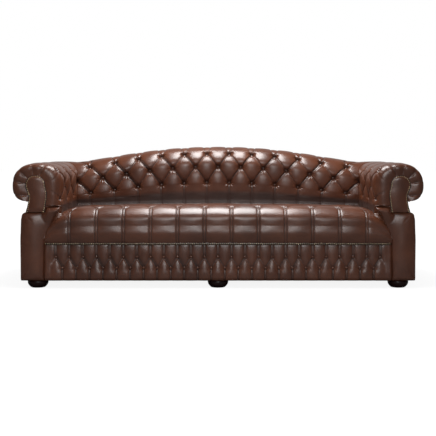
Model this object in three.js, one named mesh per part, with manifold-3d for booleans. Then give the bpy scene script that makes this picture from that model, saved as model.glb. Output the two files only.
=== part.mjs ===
// Camelback sofa with deep-buttoned leather, rolled arms, a humped rolled back, a buttoned seat and bun feet.
// Millimetres. +Z is up, X runs along the sofa, the front faces -Y.
// The origin is on the floor below the middle.
import * as THREE from "three";
import { mergeVertices } from "three/addons/utils/BufferGeometryUtils.js";
import Module from "manifold-3d";

const wasm = await Module();
wasm.setup();

// Overall sizes
const sofaWidth = 2450;
const sofaDepth = 930;
const underside = 49;
const clearance = 0.3;
const seam = 0.6;
const cutOverrun = 6;

// The base rails, and the springs and deck cloth that lie on them
const timber = { railThickness: 30, postWidth: 72, postInset: 24, topRailDepth: 54, topRailRise: 24 };
const rail = { bottomGap: 2.3, height: 210.7, crossWidth: 44, crossHeight: 80 };
const cornerBlock = { length: 80, height: 90 };
const crossRailShare = 0.5;
const railBottom = underside + rail.bottomGap;
const railTop = railBottom + rail.height;
const springs = { wire: 4.4, swing: 28, loopLength: 62, endMargin: 249 };
const springCount = 6;
const springTieShares = [0.16, 0.5, 0.84];
const deckThickness = 2.7;
const deckBottom = railTop + springs.wire + 2 * clearance;
const borderTop = deckBottom + deckThickness;

// The seat
const seat = { thickness: 219.7, fall: 10, edgeWidth: 67, edgeHeight: 110, faceTuck: 9 };
const seatFaceLowShare = 0.565;
const seatHeight = borderTop + seam + seat.thickness;
const armRise = 261;
const armHeight = seatHeight + armRise;

// The hump of the back, above the height of the arms
const hump = { rise: 99, endInset: 137.5, fromDrop: 166, toRise: 14 };
const humpRoundShare = 2.2;
const humpFallShare = 1.5;
const humpFollowShare = 3.1;

// The roll that tops the arms and the back
const roll = { outerReach: 127.5, armInnerReach: 169, backInnerReach: 130 };
const rollRise = 125;
const rollDrop = 106;
const neckReach = 33.5;
const rollOuterPowerShare = 2;
const rollUnderPowerShare = 2.3;
const armRollPowerShare = 2.9;
const backRollPowerShare = 2.2;
const rollX = sofaWidth / 2 - roll.outerReach;
const rollY = sofaDepth / 2 - roll.outerReach;
const rollZ = armHeight - rollRise;
const frontY = -sofaDepth / 2;
const humpHalfSpan = rollX - hump.endInset;
const humpFrom = rollZ - hump.fromDrop;
const humpTo = rollZ + hump.toRise;
const topRailTop = rollZ + timber.topRailRise;
const neckAngle = Math.acos((neckReach / roll.outerReach) ** (rollUnderPowerShare / 2));
const neckZ = rollZ - rollDrop * Math.sin(neckAngle) ** (2 / rollUnderPowerShare);

// The ledge round the base, below the neck of the roll, and how far below it the base's shoulder starts
const ledge = { belowNeck: 64.6, reach: 60, blockDrop: 1.6, edgeDrop: 3.6, sideDrop: 11.6 };
const shoulderDrop = 45.6;
const ledgeTop = neckZ - ledge.belowNeck;

const stuffing = { height: 71.7, drop: 5.9 };
const stuffingTop = ledgeTop - stuffing.drop;
const boardThickness = 17;
const upright = { depth: 68.7 };
const uprightColumns = [4.5, 5, 5.5];

// Cloths under the upholstery
const hessianThickness = 3;
const dustCoverThickness = 2;

// The seat
const seatTuft = { endMargin: 148.5, button: 30, crease: 12, pleat: 9 };
const seatRows = 6;
const seatColumns = 11;
const seatEnd = { inset: 160.5, flare: 102 };
const seatTopReach = rollX - seatEnd.inset;
const seatReach = seatTopReach + seatEnd.flare;
const seatHalfPitch = (seatReach - seatTuft.endMargin) / seatColumns;
const seatEndShares = [0, 0.35, 0.7, 0.96];
const seatEndPowerShare = 1.25;
const seatEndLeastShare = 0.06;

// Deep buttoning of the back and of the arms
const tuft = { button: 38, crease: 17, pleat: 13, overRoll: 7 };
const rowRiseShares = [0.9655, 0.797, 0.5172, 0.1609];
const rowHeights = rowRiseShares.map((share) => seatHeight + armRise * share);
const backWidening = 0.23;
const backColumns = 12;
const backHalfPitch = (rollX - roll.armInnerReach) / backColumns - backWidening * backColumns;
const armTuft = { cornerInset: 165.5, frontMargin: 67 };
const armColumns = 5;
const armCornerY = rollY - armTuft.cornerInset;
const armHalfPitch = (armCornerY - frontY - armTuft.frontMargin) / armColumns;
const backLean = { rowReach: 172, seatReach: 236.5 };
const seatRearY = rollY - backLean.seatReach - clearance;
const overRollSteps = 7;
const pillowPowerShare = 0.45;
const buttonSpreadShare = 0.34;

// The front of the arm
const facing = { front: 9.7, thickness: 5, headX: -9.5, headDrop: 8, headRadius: 60 };
const facingBottom = ledgeTop + clearance;
const facingWaist = { outer: 29.5, inner: -78.5, outerDrop: 72, innerDrop: 77 };
const facingFoot = { outer: 46, inner: -64 };
const facingArc = { from: -0.35, to: Math.PI + 0.2, steps: 12 };
const shoulderShares = [0.6, 0.3, 0.1, 0];
const shoulder = [0, 9, 26, 52];
const blockThickness = 32;
const blockFold = { drop: 4, gap: 3 };
const blockFoldTop = seatHeight - blockFold.drop;
const blockRound = [24, 9, 2, 0, 0];
const blockDepths = [0, 6.5, 16, 24, blockThickness];
const lowerPadSetback = 8.5;

// The base that runs round below the arms and the back
const base = { reach: 84.5, waist: 84.1, shoulder: 78.5, top: 71.5, lip: 36 };
const baseWaistShare = 0.5825;
const baseWaistHeight = underside + (ledgeTop - underside) * baseWaistShare;
const lipThickness = 5.6;
const outsidePanel = { thickness: 8, footReach: 50, lowReach: 48.5, lowRise: 8.4, midReach: 37.5 };
const outsidePanelMidShare = 0.625;

// The buttoned border under the seat
const border = { tuck: 9, face: 3, button: 14, crease: 6, pleat: 5 };
const borderTuft = { endMargin: 67.6 };
const borderRowShares = { low: 0.1677, rowB: 0.3398, rowA: 0.6343, high: 0.8292 };
const borderColumns = 24;
const borderHalfPitch = (seatReach - borderTuft.endMargin) / borderColumns;
const borderHeight = borderTop - underside;

// The height at which the crowned ends of the seat meet the border
const seatEndBase = borderTop + seam + seat.faceTuck;

// Trim and feet
const nailBand = { rise: 1.3, width: 11, thickness: 3.4, inset: 1.5, endMargin: 3 };
const foot = { sideShift: 1.5, frontInset: 75, rearShift: 2.5, radius: 62, neck: 42, sole: 40, waist: 52 };
const footX = rollX - foot.sideShift;
const footFrontY = frontY + foot.frontInset;
const footRearY = rollY + foot.rearShift;
const footHeights = { low: 13, wide: 25, high: 41, neck: 46 };
const footBolt = { radius: 5, bottom: 17, top: 100 };
const footFaces = 16;
const boltFaces = 8;

// Finishes
const leather = { color: 0x4a2b1f, roughness: 0.38, metalness: 0 };
const wood = { color: 0x9a7448, roughness: 0.75, metalness: 0 };
const darkWood = { color: 0x1b0703, roughness: 0.3, metalness: 0 };
const brass = { color: 0x5c4a33, roughness: 0.42, metalness: 0.9 };
const steel = { color: 0x8b8d90, roughness: 0.45, metalness: 0.9 };
const hessian = { color: 0xa58a5e, roughness: 0.95, metalness: 0 };
const blackCloth = { color: 0x151515, roughness: 0.95, metalness: 0 };

const sofa = new THREE.Group();

function addPiece(name, geometry, finish) {
  const mesh = new THREE.Mesh(geometry, new THREE.MeshStandardMaterial(finish));
  mesh.name = name;
  sofa.add(mesh);
  return mesh;
}

function eachSide(make) {
  make("left", -1);
  make("right", 1);
}

// A height on the back, lifted with the hump at that place along the sofa.
function lifted(x, z) {
  const across = Math.min(Math.abs(x) / humpHalfSpan, 1);
  const rise = hump.rise * (1 - across ** humpRoundShare) ** humpFallShare;
  const up = Math.min(Math.max((z - humpFrom) / (humpTo - humpFrom), 0), 1);
  return z + rise * (1 - (1 - up) ** humpFollowShare);
}

function backColumnX(column) {
  const steps = Math.abs(column);
  return Math.sign(column) * (backHalfPitch * steps + backWidening * steps * steps);
}

// How far a diamond-buttoned cover lies below its crown. Buttons sit where column + row is even.
function diamondSink(column, row, sizes) {
  const a = (column + row) / 2;
  const b = (column - row) / 2;
  const fa = a - Math.floor(a);
  const fb = b - Math.floor(b);
  const crown = (16 * fa * (1 - fa) * fb * (1 - fb)) ** pillowPowerShare;
  const nearest = Math.min(fa, 1 - fa) ** 2 + Math.min(fb, 1 - fb) ** 2;
  const pit = Math.exp(-nearest / buttonSpreadShare ** 2);
  return sizes.crease * (1 - crown) + (sizes.button - sizes.crease) * pit * (1 - crown);
}

// How far a straight pleat lies below the cover beside it. Pleats run where column + row is even.
function pleatSink(column, row, depth) {
  const a = (column + row) / 2;
  const fa = a - Math.floor(a);
  return depth * (1 - (4 * fa * (1 - fa)) ** pillowPowerShare);
}

// A closed solid through rings of equal length. Each facet folds along its deeper diagonal.
function ringSolid(rings, startOutline, endOutline, startPanels) {
  const count = rings[0].length;
  const positions = [];
  rings.flat().forEach((point) => positions.push(point.x, point.y, point.z));
  const faces = [];
  for (let i = 0; i + 1 < rings.length; i++) {
    for (let j = 0; j < count; j++) {
      const next = (j + 1) % count;
      const corners = [i * count + j, i * count + next, (i + 1) * count + next, (i + 1) * count + j];
      const across = (rings[i][j].sink || 0) + (rings[i + 1][next].sink || 0);
      const other = (rings[i][next].sink || 0) + (rings[i + 1][j].sink || 0);
      const [a, b, c, d] = corners;
      if (across >= other) faces.push([a, b, c], [a, c, d]);
      else faces.push([a, b, d], [b, c, d]);
    }
  }
  capFaces(startOutline, startPanels).forEach(([a, b, c]) => faces.push([c, b, a]));
  const last = (rings.length - 1) * count;
  capFaces(endOutline || startOutline).forEach(([a, b, c]) => faces.push([last + a, last + b, last + c]));
  return facingOut(positions, faces);
}

// The faces that close a ring, panel by panel where its points lie at different depths.
function capFaces(outline, panels = [outline.map((point, i) => i)]) {
  const clockwise = THREE.ShapeUtils.isClockWise(outline);
  const faces = panels.flatMap((panel) => {
    const corners = panel.map((i) => outline[i]);
    return THREE.ShapeUtils.triangulateShape(corners, []).map((face) => face.map((k) => panel[k]));
  });
  return clockwise ? faces.map(([a, b, c]) => [a, c, b]) : faces;
}

// The panels of the arm pad's front: set back below, sloping between, and flush above.
function padFrontPanels(section) {
  const indices = section.map((point, i) => i);
  const lower = indices.filter((i) => section[i].lower);
  const upper = indices.filter((i) => !section[i].lower);
  const lowTop = lower.filter((i) => !section[i].core).pop();
  const slope = [lowTop, lowTop + 1, upper[upper.length - 1], upper[upper.length - 1] + 1];
  return [lower, slope, upper];
}

// A geometry whose faces all point out, whichever way round its rings were given.
function facingOut(positions, faces) {
  const ordered = orderFaces(faces);
  let volume = 0;
  const at = (index) => new THREE.Vector3().fromArray(positions, index * 3);
  ordered.forEach(([a, b, c]) => {
    volume += at(a).dot(at(b).cross(at(c)));
  });
  const outward = volume < 0 ? ordered.map(([a, b, c]) => [a, c, b]) : ordered;
  const geometry = new THREE.BufferGeometry();
  geometry.setAttribute("position", new THREE.Float32BufferAttribute(positions, 3));
  geometry.setIndex(outward.flat());
  return geometry;
}

// Turns caps round where they disagree with the walls that they close.
function orderFaces(faces) {
  const edges = new Set();
  const walls = faces.filter(([a, b, c]) => {
    const used = [[a, b], [b, c], [c, a]].some(([m, n]) => edges.has(m + "_" + n));
    if (!used) [[a, b], [b, c], [c, a]].forEach(([m, n]) => edges.add(m + "_" + n));
    return !used;
  });
  const turned = faces.filter((face) => !walls.includes(face)).map(([a, b, c]) => [a, c, b]);
  return walls.concat(turned);
}

function outlineOf(points) {
  return points.map(([x, z]) => new THREE.Vector2(x, z));
}

function asSolid(geometry) {
  const plain = geometry.clone();
  plain.deleteAttribute("normal");
  plain.deleteAttribute("uv");
  const merged = mergeVertices(plain);
  const vertProperties = new Float32Array(merged.attributes.position.array);
  const triVerts = new Uint32Array(merged.index.array);
  return new wasm.Manifold(new wasm.Mesh({ numProp: 3, vertProperties, triVerts }));
}

function asGeometry(solid) {
  const mesh = solid.getMesh();
  const geometry = new THREE.BufferGeometry();
  geometry.setAttribute("position", new THREE.BufferAttribute(mesh.vertProperties, 3));
  geometry.setIndex(new THREE.BufferAttribute(mesh.triVerts, 1));
  return geometry;
}

function boxBetween(low, high) {
  const size = new THREE.Vector3(...high).sub(new THREE.Vector3(...low));
  const middle = new THREE.Vector3(...high).add(new THREE.Vector3(...low)).multiplyScalar(0.5);
  return new THREE.BoxGeometry(size.x, size.y, size.z).translate(middle.x, middle.y, middle.z);
}

function uprightCylinder(radius, x, y, bottom, top, faces) {
  const cylinder = new THREE.CylinderGeometry(radius, radius, top - bottom, faces);
  return cylinder.rotateX(Math.PI / 2).translate(x, y, (top + bottom) / 2);
}

// A board cut to an outline in the X-Z plane, from one depth to another.
function boardBetween(points, nearY, farY) {
  const shape = new THREE.Shape(outlineOf(points));
  const board = new THREE.ExtrudeGeometry(shape, { depth: farY - nearY, bevelEnabled: false });
  return board.rotateX(Math.PI / 2).translate(0, farY, 0);
}

function between(from, to, share) {
  return from + (to - from) * share;
}

// The roll's outline, as reach from its centre line and height, at an angle from straight out.
function rollPoint(angle, innerReach, innerPower) {
  const cos = Math.cos(angle);
  const sin = Math.sin(angle);
  const inner = cos < 0;
  const outerPower = sin < 0 ? rollUnderPowerShare : rollOuterPowerShare;
  const power = inner ? innerPower : outerPower;
  const reach = (inner ? innerReach : roll.outerReach) * Math.sign(cos) * Math.abs(cos) ** (2 / power);
  const rise = (sin < 0 ? rollDrop : rollRise) * Math.sign(sin) * Math.abs(sin) ** (2 / power);
  return { reach, z: rollZ + rise };
}

// The reach of the inside face at a height, below and above the middle of the roll.
function armFaceReach(z) {
  if (z > rollZ) return -roll.armInnerReach * roundedShare(z, armRollPowerShare);
  const share = (rollZ - z) / (rollZ - seatHeight);
  return between(-roll.armInnerReach, -seatEnd.inset, Math.min(share, 1));
}

function backFaceReach(z) {
  if (z > rollZ) return -roll.backInnerReach * roundedShare(z, backRollPowerShare);
  const lowRow = rowHeights[3];
  if (z > lowRow) return between(-roll.backInnerReach, -backLean.rowReach, (rollZ - z) / (rollZ - lowRow));
  const share = Math.min((lowRow - z) / (lowRow - seatHeight), 1);
  return between(-backLean.rowReach, -backLean.seatReach, share);
}

function roundedShare(z, power) {
  return (1 - ((z - rollZ) / rollRise) ** power) ** (1 / power);
}

function rowHeight(row) {
  const lower = Math.min(Math.floor(row), rowHeights.length - 1);
  const low = lower + 1 < rowHeights.length ? rowHeights[lower + 1] : seatHeight + seam;
  return between(rowHeights[lower], low, row - lower);
}

// The crowned end of the seat, beside the arm: its place along the sofa and its height at a share.
function seatEndPoint(share) {
  const fall = (1 - share ** seatEndPowerShare) ** (1 / seatEndPowerShare);
  return { x: between(seatTopReach, seatReach, share), fall };
}

function seatEndHeight(share, top, bottom) {
  return between(bottom, top, seatEndPoint(share).fall);
}

// The section of the arm and back pads: the same rows of points, each with a reach for the arm
// and one for the back.
function padSection() {
  const section = [];
  seatEndShares.slice(1, 3).reverse().forEach((share) => {
    const z = seatEndHeight(share, seatHeight, seatEndBase) + seam;
    const arm = seatEndPoint(share).x - rollX + seam;
    section.push({ arm, back: -backLean.seatReach, z, row: 5, lower: true });
  });
  for (let row = 4; row >= 0; row -= 0.5) {
    const z = rowHeight(row);
    section.push({ arm: armFaceReach(z), back: backFaceReach(z), z, row, lower: row > 3.5 });
  }
  const start = Math.PI - Math.asin(((rowHeights[0] - rollZ) / rollRise) ** (armRollPowerShare / 2));
  const end = -neckAngle;
  for (let step = 1; step <= overRollSteps; step++) {
    const angle = between(start, end, step / overRollSteps);
    const onArm = rollPoint(angle, roll.armInnerReach, armRollPowerShare);
    const onBack = rollPoint(angle, roll.backInnerReach, backRollPowerShare);
    section.push({ arm: onArm.reach, back: onBack.reach, z: onArm.z, row: -step / overRollSteps });
  }
  const outside = timber.postInset + clearance;
  const inside = timber.postInset - timber.postWidth - clearance;
  const top = topRailTop + clearance;
  const padFoot = seatEndBase + lowerPadSetback;
  [[outside, neckZ], [outside, top], [inside, top], [inside, rowHeight(3.5)]].forEach(([reach, z]) => {
    section.push({ arm: reach, back: reach, z, core: true });
  });
  [[inside, seatHeight + seam], [inside, padFoot]].forEach(([reach, z]) => {
    section.push({ arm: reach, back: reach, z, core: true, lower: true });
  });
  return section;
}

// How far a point of the pads is drawn in below the crown of its cover.
function padSink(column, point) {
  if (point.core || point.row > 4) return 0;
  if (point.row > 3) return pleatSink(column, 1, tuft.pleat);
  if (point.row >= 0) return diamondSink(column, point.row, tuft);
  return pleatSink(column, 0, tuft.overRoll) * (1 + point.row);
}

// The way in from the cover: level on the inside face, and towards the middle of the roll above it.
function drawnIn(reach, z, sink) {
  const coreZ = reach < 0 ? Math.min(z, rollZ) : rollZ;
  const length = Math.hypot(reach, z - coreZ) || 1;
  return { reach: reach * (1 - sink / length), z: z - ((z - coreZ) * sink) / length };
}

function cornerRing(section, side, shiftX, shiftY) {
  return section.map((point) => {
    const sink = padSink(0, point);
    const onArm = drawnIn(point.arm, point.z, sink);
    const onBack = drawnIn(point.back, point.z, sink);
    const x = side * (rollX + onArm.reach - shiftX);
    const corner = new THREE.Vector3(x, rollY + onBack.reach - shiftY, onArm.z);
    corner.sink = sink;
    return corner;
  });
}

function sectionOutline(section) {
  return section.map((point) => new THREE.Vector2(point.arm, point.z));
}

// Where the edge of the facing lies beside a point of the roll.
function facingEdge(reach, z) {
  const headZ = rollZ - facing.headDrop;
  if (z >= headZ) {
    const away = Math.hypot(reach - facing.headX, z - headZ);
    const share = facing.headRadius / away;
    return { reach: between(facing.headX, reach, share), z: between(headZ, z, share) };
  }
  const outer = reach > facing.headX;
  const side = outer ? facing.headX + facing.headRadius : facing.headX - facing.headRadius;
  const waist = outer ? facingWaist.outer : facingWaist.inner;
  const waistZ = outer ? rollZ - facingWaist.outerDrop : rollZ - facingWaist.innerDrop;
  if (z >= waistZ) return { reach: between(side, waist, (headZ - z) / (headZ - waistZ)), z };
  const low = outer ? neckReach : facingFoot.inner;
  const lowZ = outer ? neckZ : facingBottom;
  return { reach: between(waist, low, Math.min((waistZ - z) / (waistZ - lowZ), 1)), z };
}

// One ring of the arm pad: set back below the shoulder, and rounded over at the front.
function armRing(section, side, depthOf, column, roundShare) {
  return section.map((point) => {
    const sink = padSink(column, point) * (1 - Math.min(roundShare * 2, 1));
    const cover = drawnIn(point.arm, point.z, sink);
    const edge = point.core || point.lower ? cover : facingEdge(cover.reach, cover.z);
    const facingBack = facing.front + facing.thickness + clearance;
    const setback = point.lower ? blockThickness + lowerPadSetback : facingBack;
    const vertex = new THREE.Vector3(
      side * (rollX + between(cover.reach, edge.reach, roundShare)),
      Math.max(depthOf(point), frontY + setback),
      between(cover.z, edge.z, roundShare),
    );
    vertex.sink = sink;
    return vertex;
  });
}

// The place of a column along the arm. The last one before the corner fans out with the mitre.
function armColumnY(column, point) {
  if (column >= 1) return armCornerY - armHalfPitch * column;
  return between(rollY + point.back, armCornerY - armHalfPitch, column);
}

function armPad(side) {
  const section = padSection();
  const padFront = frontY + facing.front + facing.thickness + clearance;
  const rings = shoulder.map((depth, i) => {
    const lowerStep = (i * lowerPadSetback) / 2;
    return armRing(section, side, () => padFront + depth, armColumns, shoulderShares[i]).map((vertex, j) => {
      if (section[j].lower) vertex.y = frontY + blockThickness + lowerPadSetback + lowerStep;
      return vertex;
    });
  });
  for (let column = armColumns - 0.5; column > 0.4; column -= 0.5) {
    rings.push(armRing(section, side, (point) => armColumnY(column, point), column, 0));
  }
  rings.push(cornerRing(section, side, 0, clearance));
  const front = section.map((point, j) => new THREE.Vector2(side * rings[0][j].x, rings[0][j].z));
  return ringSolid(rings, front, sectionOutline(section), padFrontPanels(section));
}

function backPad() {
  const section = padSection();
  const rings = [cornerRing(section, -1, clearance, 0)];
  for (let column = 0.5 - backColumns; column < backColumns - 0.4; column += 0.5) {
    const x = backColumnX(column);
    rings.push(section.map((point) => {
      const sink = padSink(column, point);
      const cover = drawnIn(point.back, point.z, sink);
      const vertex = new THREE.Vector3(x, rollY + cover.reach, lifted(x, cover.z));
      vertex.sink = sink;
      return vertex;
    }));
  }
  rings.push(cornerRing(section, 1, clearance, 0));
  return ringSolid(rings, sectionOutline(section));
}

// The seat's section, from the nail line up its front edge, over the buttoned top and down at the rear.
function seatSection() {
  const low = borderTop + seam;
  const face = frontY + border.face;
  const edgeZ = seatHeight - seat.edgeHeight;
  const crestY = face + seat.edgeWidth;
  const rowGap = (seatRearY - crestY) / (seatRows - 0.5);
  const bend = Math.SQRT1_2;
  const section = [
    { y: face + seat.faceTuck, z: low, row: 0, under: true },
    { y: face + seat.faceTuck, z: low + seat.faceTuck, row: 0 },
    { y: face, z: between(low, edgeZ, seatFaceLowShare), row: 0 },
    { y: face, z: edgeZ, row: 0 },
    { y: crestY - seat.edgeWidth * bend, z: edgeZ + seat.edgeHeight * bend, row: 0 },
  ];
  for (let row = 1; row <= seatRows; row += 0.5) {
    const y = crestY + rowGap * (row - 1);
    section.push({ y, z: seatHeight - (seat.fall * (y - crestY)) / (seatRearY - crestY), row });
  }
  section.push({ y: seatRearY, z: seatHeight - seat.fall, row: seatRows + 1 });
  section.push({ y: seatRearY, z: low, row: 0, under: true });
  return section;
}

function seatSink(column, point) {
  if (point.under || point.row > seatRows) return 0;
  if (point.row < 1) return pleatSink(column, 1, seatTuft.pleat);
  return diamondSink(column, point.row, seatTuft);
}

function seatPad() {
  const section = seatSection();
  const ring = (x, column, fall, buttoned) => section.map((point) => {
    const sink = buttoned ? seatSink(column, point) : 0;
    const front = point.row < 1 && !point.under;
    const tuckedY = front ? between(frontY + border.face + seat.faceTuck, point.y, Math.sqrt(fall)) : point.y;
    const z = point.z < seatEndBase ? point.z : between(seatEndBase, point.z, fall);
    const vertex = new THREE.Vector3(x, tuckedY + (front ? sink : 0), z - (front ? 0 : sink));
    vertex.sink = sink;
    return vertex;
  });
  const rings = [];
  const endRings = (side) => seatEndShares.map((share) => {
    const end = seatEndPoint(share);
    return ring(side * (end.x - clearance), 0, Math.max(end.fall, seatEndLeastShare), false);
  });
  rings.push(...endRings(-1).reverse());
  const lastColumn = Math.floor((2 * (seatTopReach - seatTuft.pleat)) / seatHalfPitch) / 2;
  for (let column = -lastColumn; column <= lastColumn; column += 0.5) {
    rings.push(ring(column * seatHalfPitch, column, 1, true));
  }
  rings.push(...endRings(1));
  return ringSolid(rings, section.map((point) => new THREE.Vector2(point.y, point.z)));
}

// The buttoned border: row A and row B, pleats above A and below B.
function frontBorder() {
  const back = frontY + blockThickness;
  const face = frontY + border.face;
  const rowAZ = underside + borderHeight * borderRowShares.rowA;
  const rowBZ = underside + borderHeight * borderRowShares.rowB;
  const section = [
    { y: back, z: borderTop, plain: true },
    { y: face + border.tuck, z: borderTop - border.face, row: -1 },
    { y: face + border.face, z: underside + borderHeight * borderRowShares.high, row: -1 },
    { y: face, z: rowAZ, row: 0 },
    { y: face, z: (rowAZ + rowBZ) / 2, row: 0.5 },
    { y: face, z: rowBZ, row: 1 },
    { y: face + border.face, z: underside + borderHeight * borderRowShares.low, row: 2 },
    { y: face + border.tuck, z: underside + border.face, row: 2 },
    { y: back, z: underside, plain: true },
  ];
  const sinkAt = (column, row, plain) => {
    if (plain || Math.abs(column) > borderColumns) return 0;
    if (row < 0) return pleatSink(column, 0, border.pleat);
    if (row > 1) return pleatSink(column, 1, border.pleat);
    return diamondSink(column, row, border);
  };
  const rings = [];
  const addRing = (x, column) => rings.push(section.map((point) => {
    const sink = sinkAt(column, point.row, point.plain);
    const vertex = new THREE.Vector3(x, point.y + sink, point.z);
    vertex.sink = sink;
    return vertex;
  }));
  addRing(-(seatReach - clearance), borderColumns + 1);
  for (let column = -borderColumns - 1; column <= borderColumns + 1; column += 0.5) {
    addRing(column * borderHalfPitch, column);
  }
  addRing((seatReach - clearance), borderColumns + 1);
  return ringSolid(rings, section.map((point) => new THREE.Vector2(point.y, point.z)));
}

// The section of the base below the ledge, as reach and height.
function baseSection() {
  return [
    [base.reach, underside],
    [base.waist, baseWaistHeight],
    [base.shoulder, ledgeTop - shoulderDrop],
    [base.top, ledgeTop - ledge.sideDrop],
    [ledge.reach, ledgeTop - ledge.edgeDrop],
    [base.lip + lipThickness, ledgeTop],
    [base.lip, ledgeTop],
    [base.lip, stuffingTop + clearance],
    [timber.postInset + timber.railThickness + seam, stuffingTop + clearance],
    [timber.postInset + timber.railThickness + seam, underside],
  ];
}

// The outside panel between the ledge and the neck of the roll.
function outsideSection() {
  const outer = [
    [outsidePanel.footReach, ledgeTop + seam],
    [outsidePanel.lowReach, ledgeTop + outsidePanel.lowRise],
    [outsidePanel.midReach, between(ledgeTop, neckZ, outsidePanelMidShare)],
    [neckReach, neckZ - seam],
  ];
  const inner = outer.map(([reach, z]) => [reach - outsidePanel.thickness, z]).reverse();
  return outer.concat(inner);
}

// A strip with a constant section along one arm, mitred at the rear corner.
function alongArm(section, side, startY) {
  const rings = [
    section.map(([reach, z]) => new THREE.Vector3(side * (rollX + reach), startY, z)),
    section.map(([reach, z]) => new THREE.Vector3(side * (rollX + reach), rollY + reach - clearance, z)),
  ];
  return ringSolid(rings, outlineOf(section));
}

// The same section along the back, between the two mitres.
function alongBack(section, columns) {
  const corner = (side) => section.map(([reach, z]) => (
    new THREE.Vector3(side * (rollX + reach - clearance), rollY + reach, z)
  ));
  const rings = columns.map((column) => section.map(([reach, z]) => {
    const x = backColumnX(column);
    return new THREE.Vector3(x, rollY + reach, lifted(x, z));
  }));
  return ringSolid([corner(-1), ...rings, corner(1)], outlineOf(section));
}

function halfColumns() {
  const columns = [];
  for (let column = 0.5 - backColumns; column < backColumns - 0.4; column += 0.5) columns.push(column);
  return columns;
}

// An outline drawn in by a distance, square to its edges at each point.
function insetOutline(points, distance) {
  return points.map((point, i) => {
    const before = points[(i + points.length - 1) % points.length];
    const after = points[(i + 1) % points.length];
    const along = new THREE.Vector2(after[0] - before[0], after[1] - before[1]).normalize();
    return [point[0] - along.y * distance, point[1] + along.x * distance];
  });
}

// The soft block that fronts the arm below its facing, rounded over towards the front.
function armBlock(side) {
  const inner = seatEndShares.slice(1).reverse().map((share) => [
    seatEndPoint(share).x - rollX + seam,
    seatEndHeight(share, seatHeight, seatEndBase) + seam,
  ]);
  const low = seatEndPoint(seatEndShares[1]);
  const lowZ = seatEndHeight(seatEndShares[1], seatHeight, seatEndBase) + seam;
  const rise = (blockFoldTop - lowZ) / (seatHeight + seam - lowZ);
  const cornerReach = between(low.x, seatTopReach, rise) - rollX + seam;
  const outline = [
    [base.reach, underside],
    [base.waist, baseWaistHeight],
    [base.shoulder, ledgeTop - shoulderDrop],
    [base.top, ledgeTop - ledge.sideDrop],
    [ledge.reach, ledgeTop - ledge.edgeDrop],
    [outsidePanel.footReach, ledgeTop - ledge.blockDrop],
    [facingFoot.inner - blockFold.gap, ledgeTop - ledge.blockDrop],
    [facingEdge(-roll.outerReach, blockFoldTop).reach - blockFold.gap, blockFoldTop],
    [cornerReach, blockFoldTop],
    ...inner.reverse(),
    [seatReach - rollX + clearance, seatEndBase],
    [seatReach - rollX + clearance, underside],
  ];
  const rings = blockRound.map((inset, i) => insetOutline(outline, inset).map(([reach, z]) => (
    new THREE.Vector3(side * (rollX + reach), frontY + blockDepths[i], z)
  )));
  return ringSolid(rings, outlineOf(outline));
}

// The keyhole outline of the facing, as places along the sofa and heights.
function facingOutline(side, inset) {
  const headZ = rollZ - facing.headDrop;
  const points = [[facingFoot.outer, facingBottom], [neckReach, neckZ]];
  points.push([facingWaist.outer, rollZ - facingWaist.outerDrop]);
  for (let step = 0; step <= facingArc.steps; step++) {
    const angle = between(facingArc.from, facingArc.to, step / facingArc.steps);
    points.push([
      facing.headX + facing.headRadius * Math.cos(angle),
      headZ + facing.headRadius * Math.sin(angle),
    ]);
  }
  points.push([facingWaist.inner, rollZ - facingWaist.innerDrop], [facingFoot.inner, facingBottom]);
  return insetOutline(points, inset).map(([reach, z]) => [side * (rollX + reach), z]);
}

function facingPanel(side) {
  const near = frontY + facing.front;
  return boardBetween(facingOutline(side, 0), near, near + facing.thickness);
}

function facingNailBand(side) {
  const far = frontY + facing.front - clearance;
  const near = far - nailBand.thickness;
  const whole = asSolid(boardBetween(facingOutline(side, nailBand.inset), near, far));
  const hole = facingOutline(side, nailBand.inset + nailBand.width);
  const middle = boardBetween(hole, near - cutOverrun, far + cutOverrun);
  return asGeometry(whole.subtract(asSolid(middle)));
}

// The humped edge of a board at a height, point by point along the sofa.
function humpedEdge(reach, z) {
  const inside = halfColumns().map(backColumnX).filter((x) => Math.abs(x) < reach);
  return [-reach, ...inside, reach].map((x) => [x, lifted(Math.abs(x) < reach ? x : humpHalfSpan, z)]);
}

const postIn = timber.postInset - timber.postWidth;
const blockBack = frontY + blockThickness;
const postFront = blockBack + clearance;
const postBack = postFront + timber.railThickness;
const railInner = timber.postInset + clearance;
const railOuter = railInner + timber.railThickness;

function baseRails() {
  const frontReach = rollX + postIn - clearance;
  const frontRail = boxBetween([-frontReach, postFront, railBottom], [frontReach, postBack, railTop]);
  addPiece("front_rail", frontRail, wood);
  const rearReach = rollX + timber.postInset;
  const backNear = rollY + railInner;
  const backFar = rollY + railOuter;
  addPiece("back_rail", boxBetween([-rearReach, backNear, railBottom], [rearReach, backFar, railTop]), wood);
  addPiece(
    "back_stuffing_rail",
    boxBetween([-rearReach, backNear, stuffingTop - stuffing.height], [rearReach, backFar, stuffingTop]),
    wood,
  );
  eachSide((name, side) => {
    const near = side * (rollX + railInner);
    const far = side * (rollX + railOuter);
    const low = Math.min(near, far);
    const high = Math.max(near, far);
    addPiece(name + "_end_rail", boxBetween([low, postFront, railBottom], [high, backFar, railTop]), wood);
    addPiece(
      name + "_arm_stuffing_rail",
      boxBetween([low, postFront, stuffingTop - stuffing.height], [high, backFar, stuffingTop]),
      wood,
    );
  });
}

function boltBore(geometry, x, y) {
  const bore = uprightCylinder(
    footBolt.radius + clearance,
    x,
    y,
    railBottom - cutOverrun,
    footBolt.top + clearance,
    boltFaces,
  );
  return asGeometry(asSolid(geometry).subtract(asSolid(bore)));
}

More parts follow.
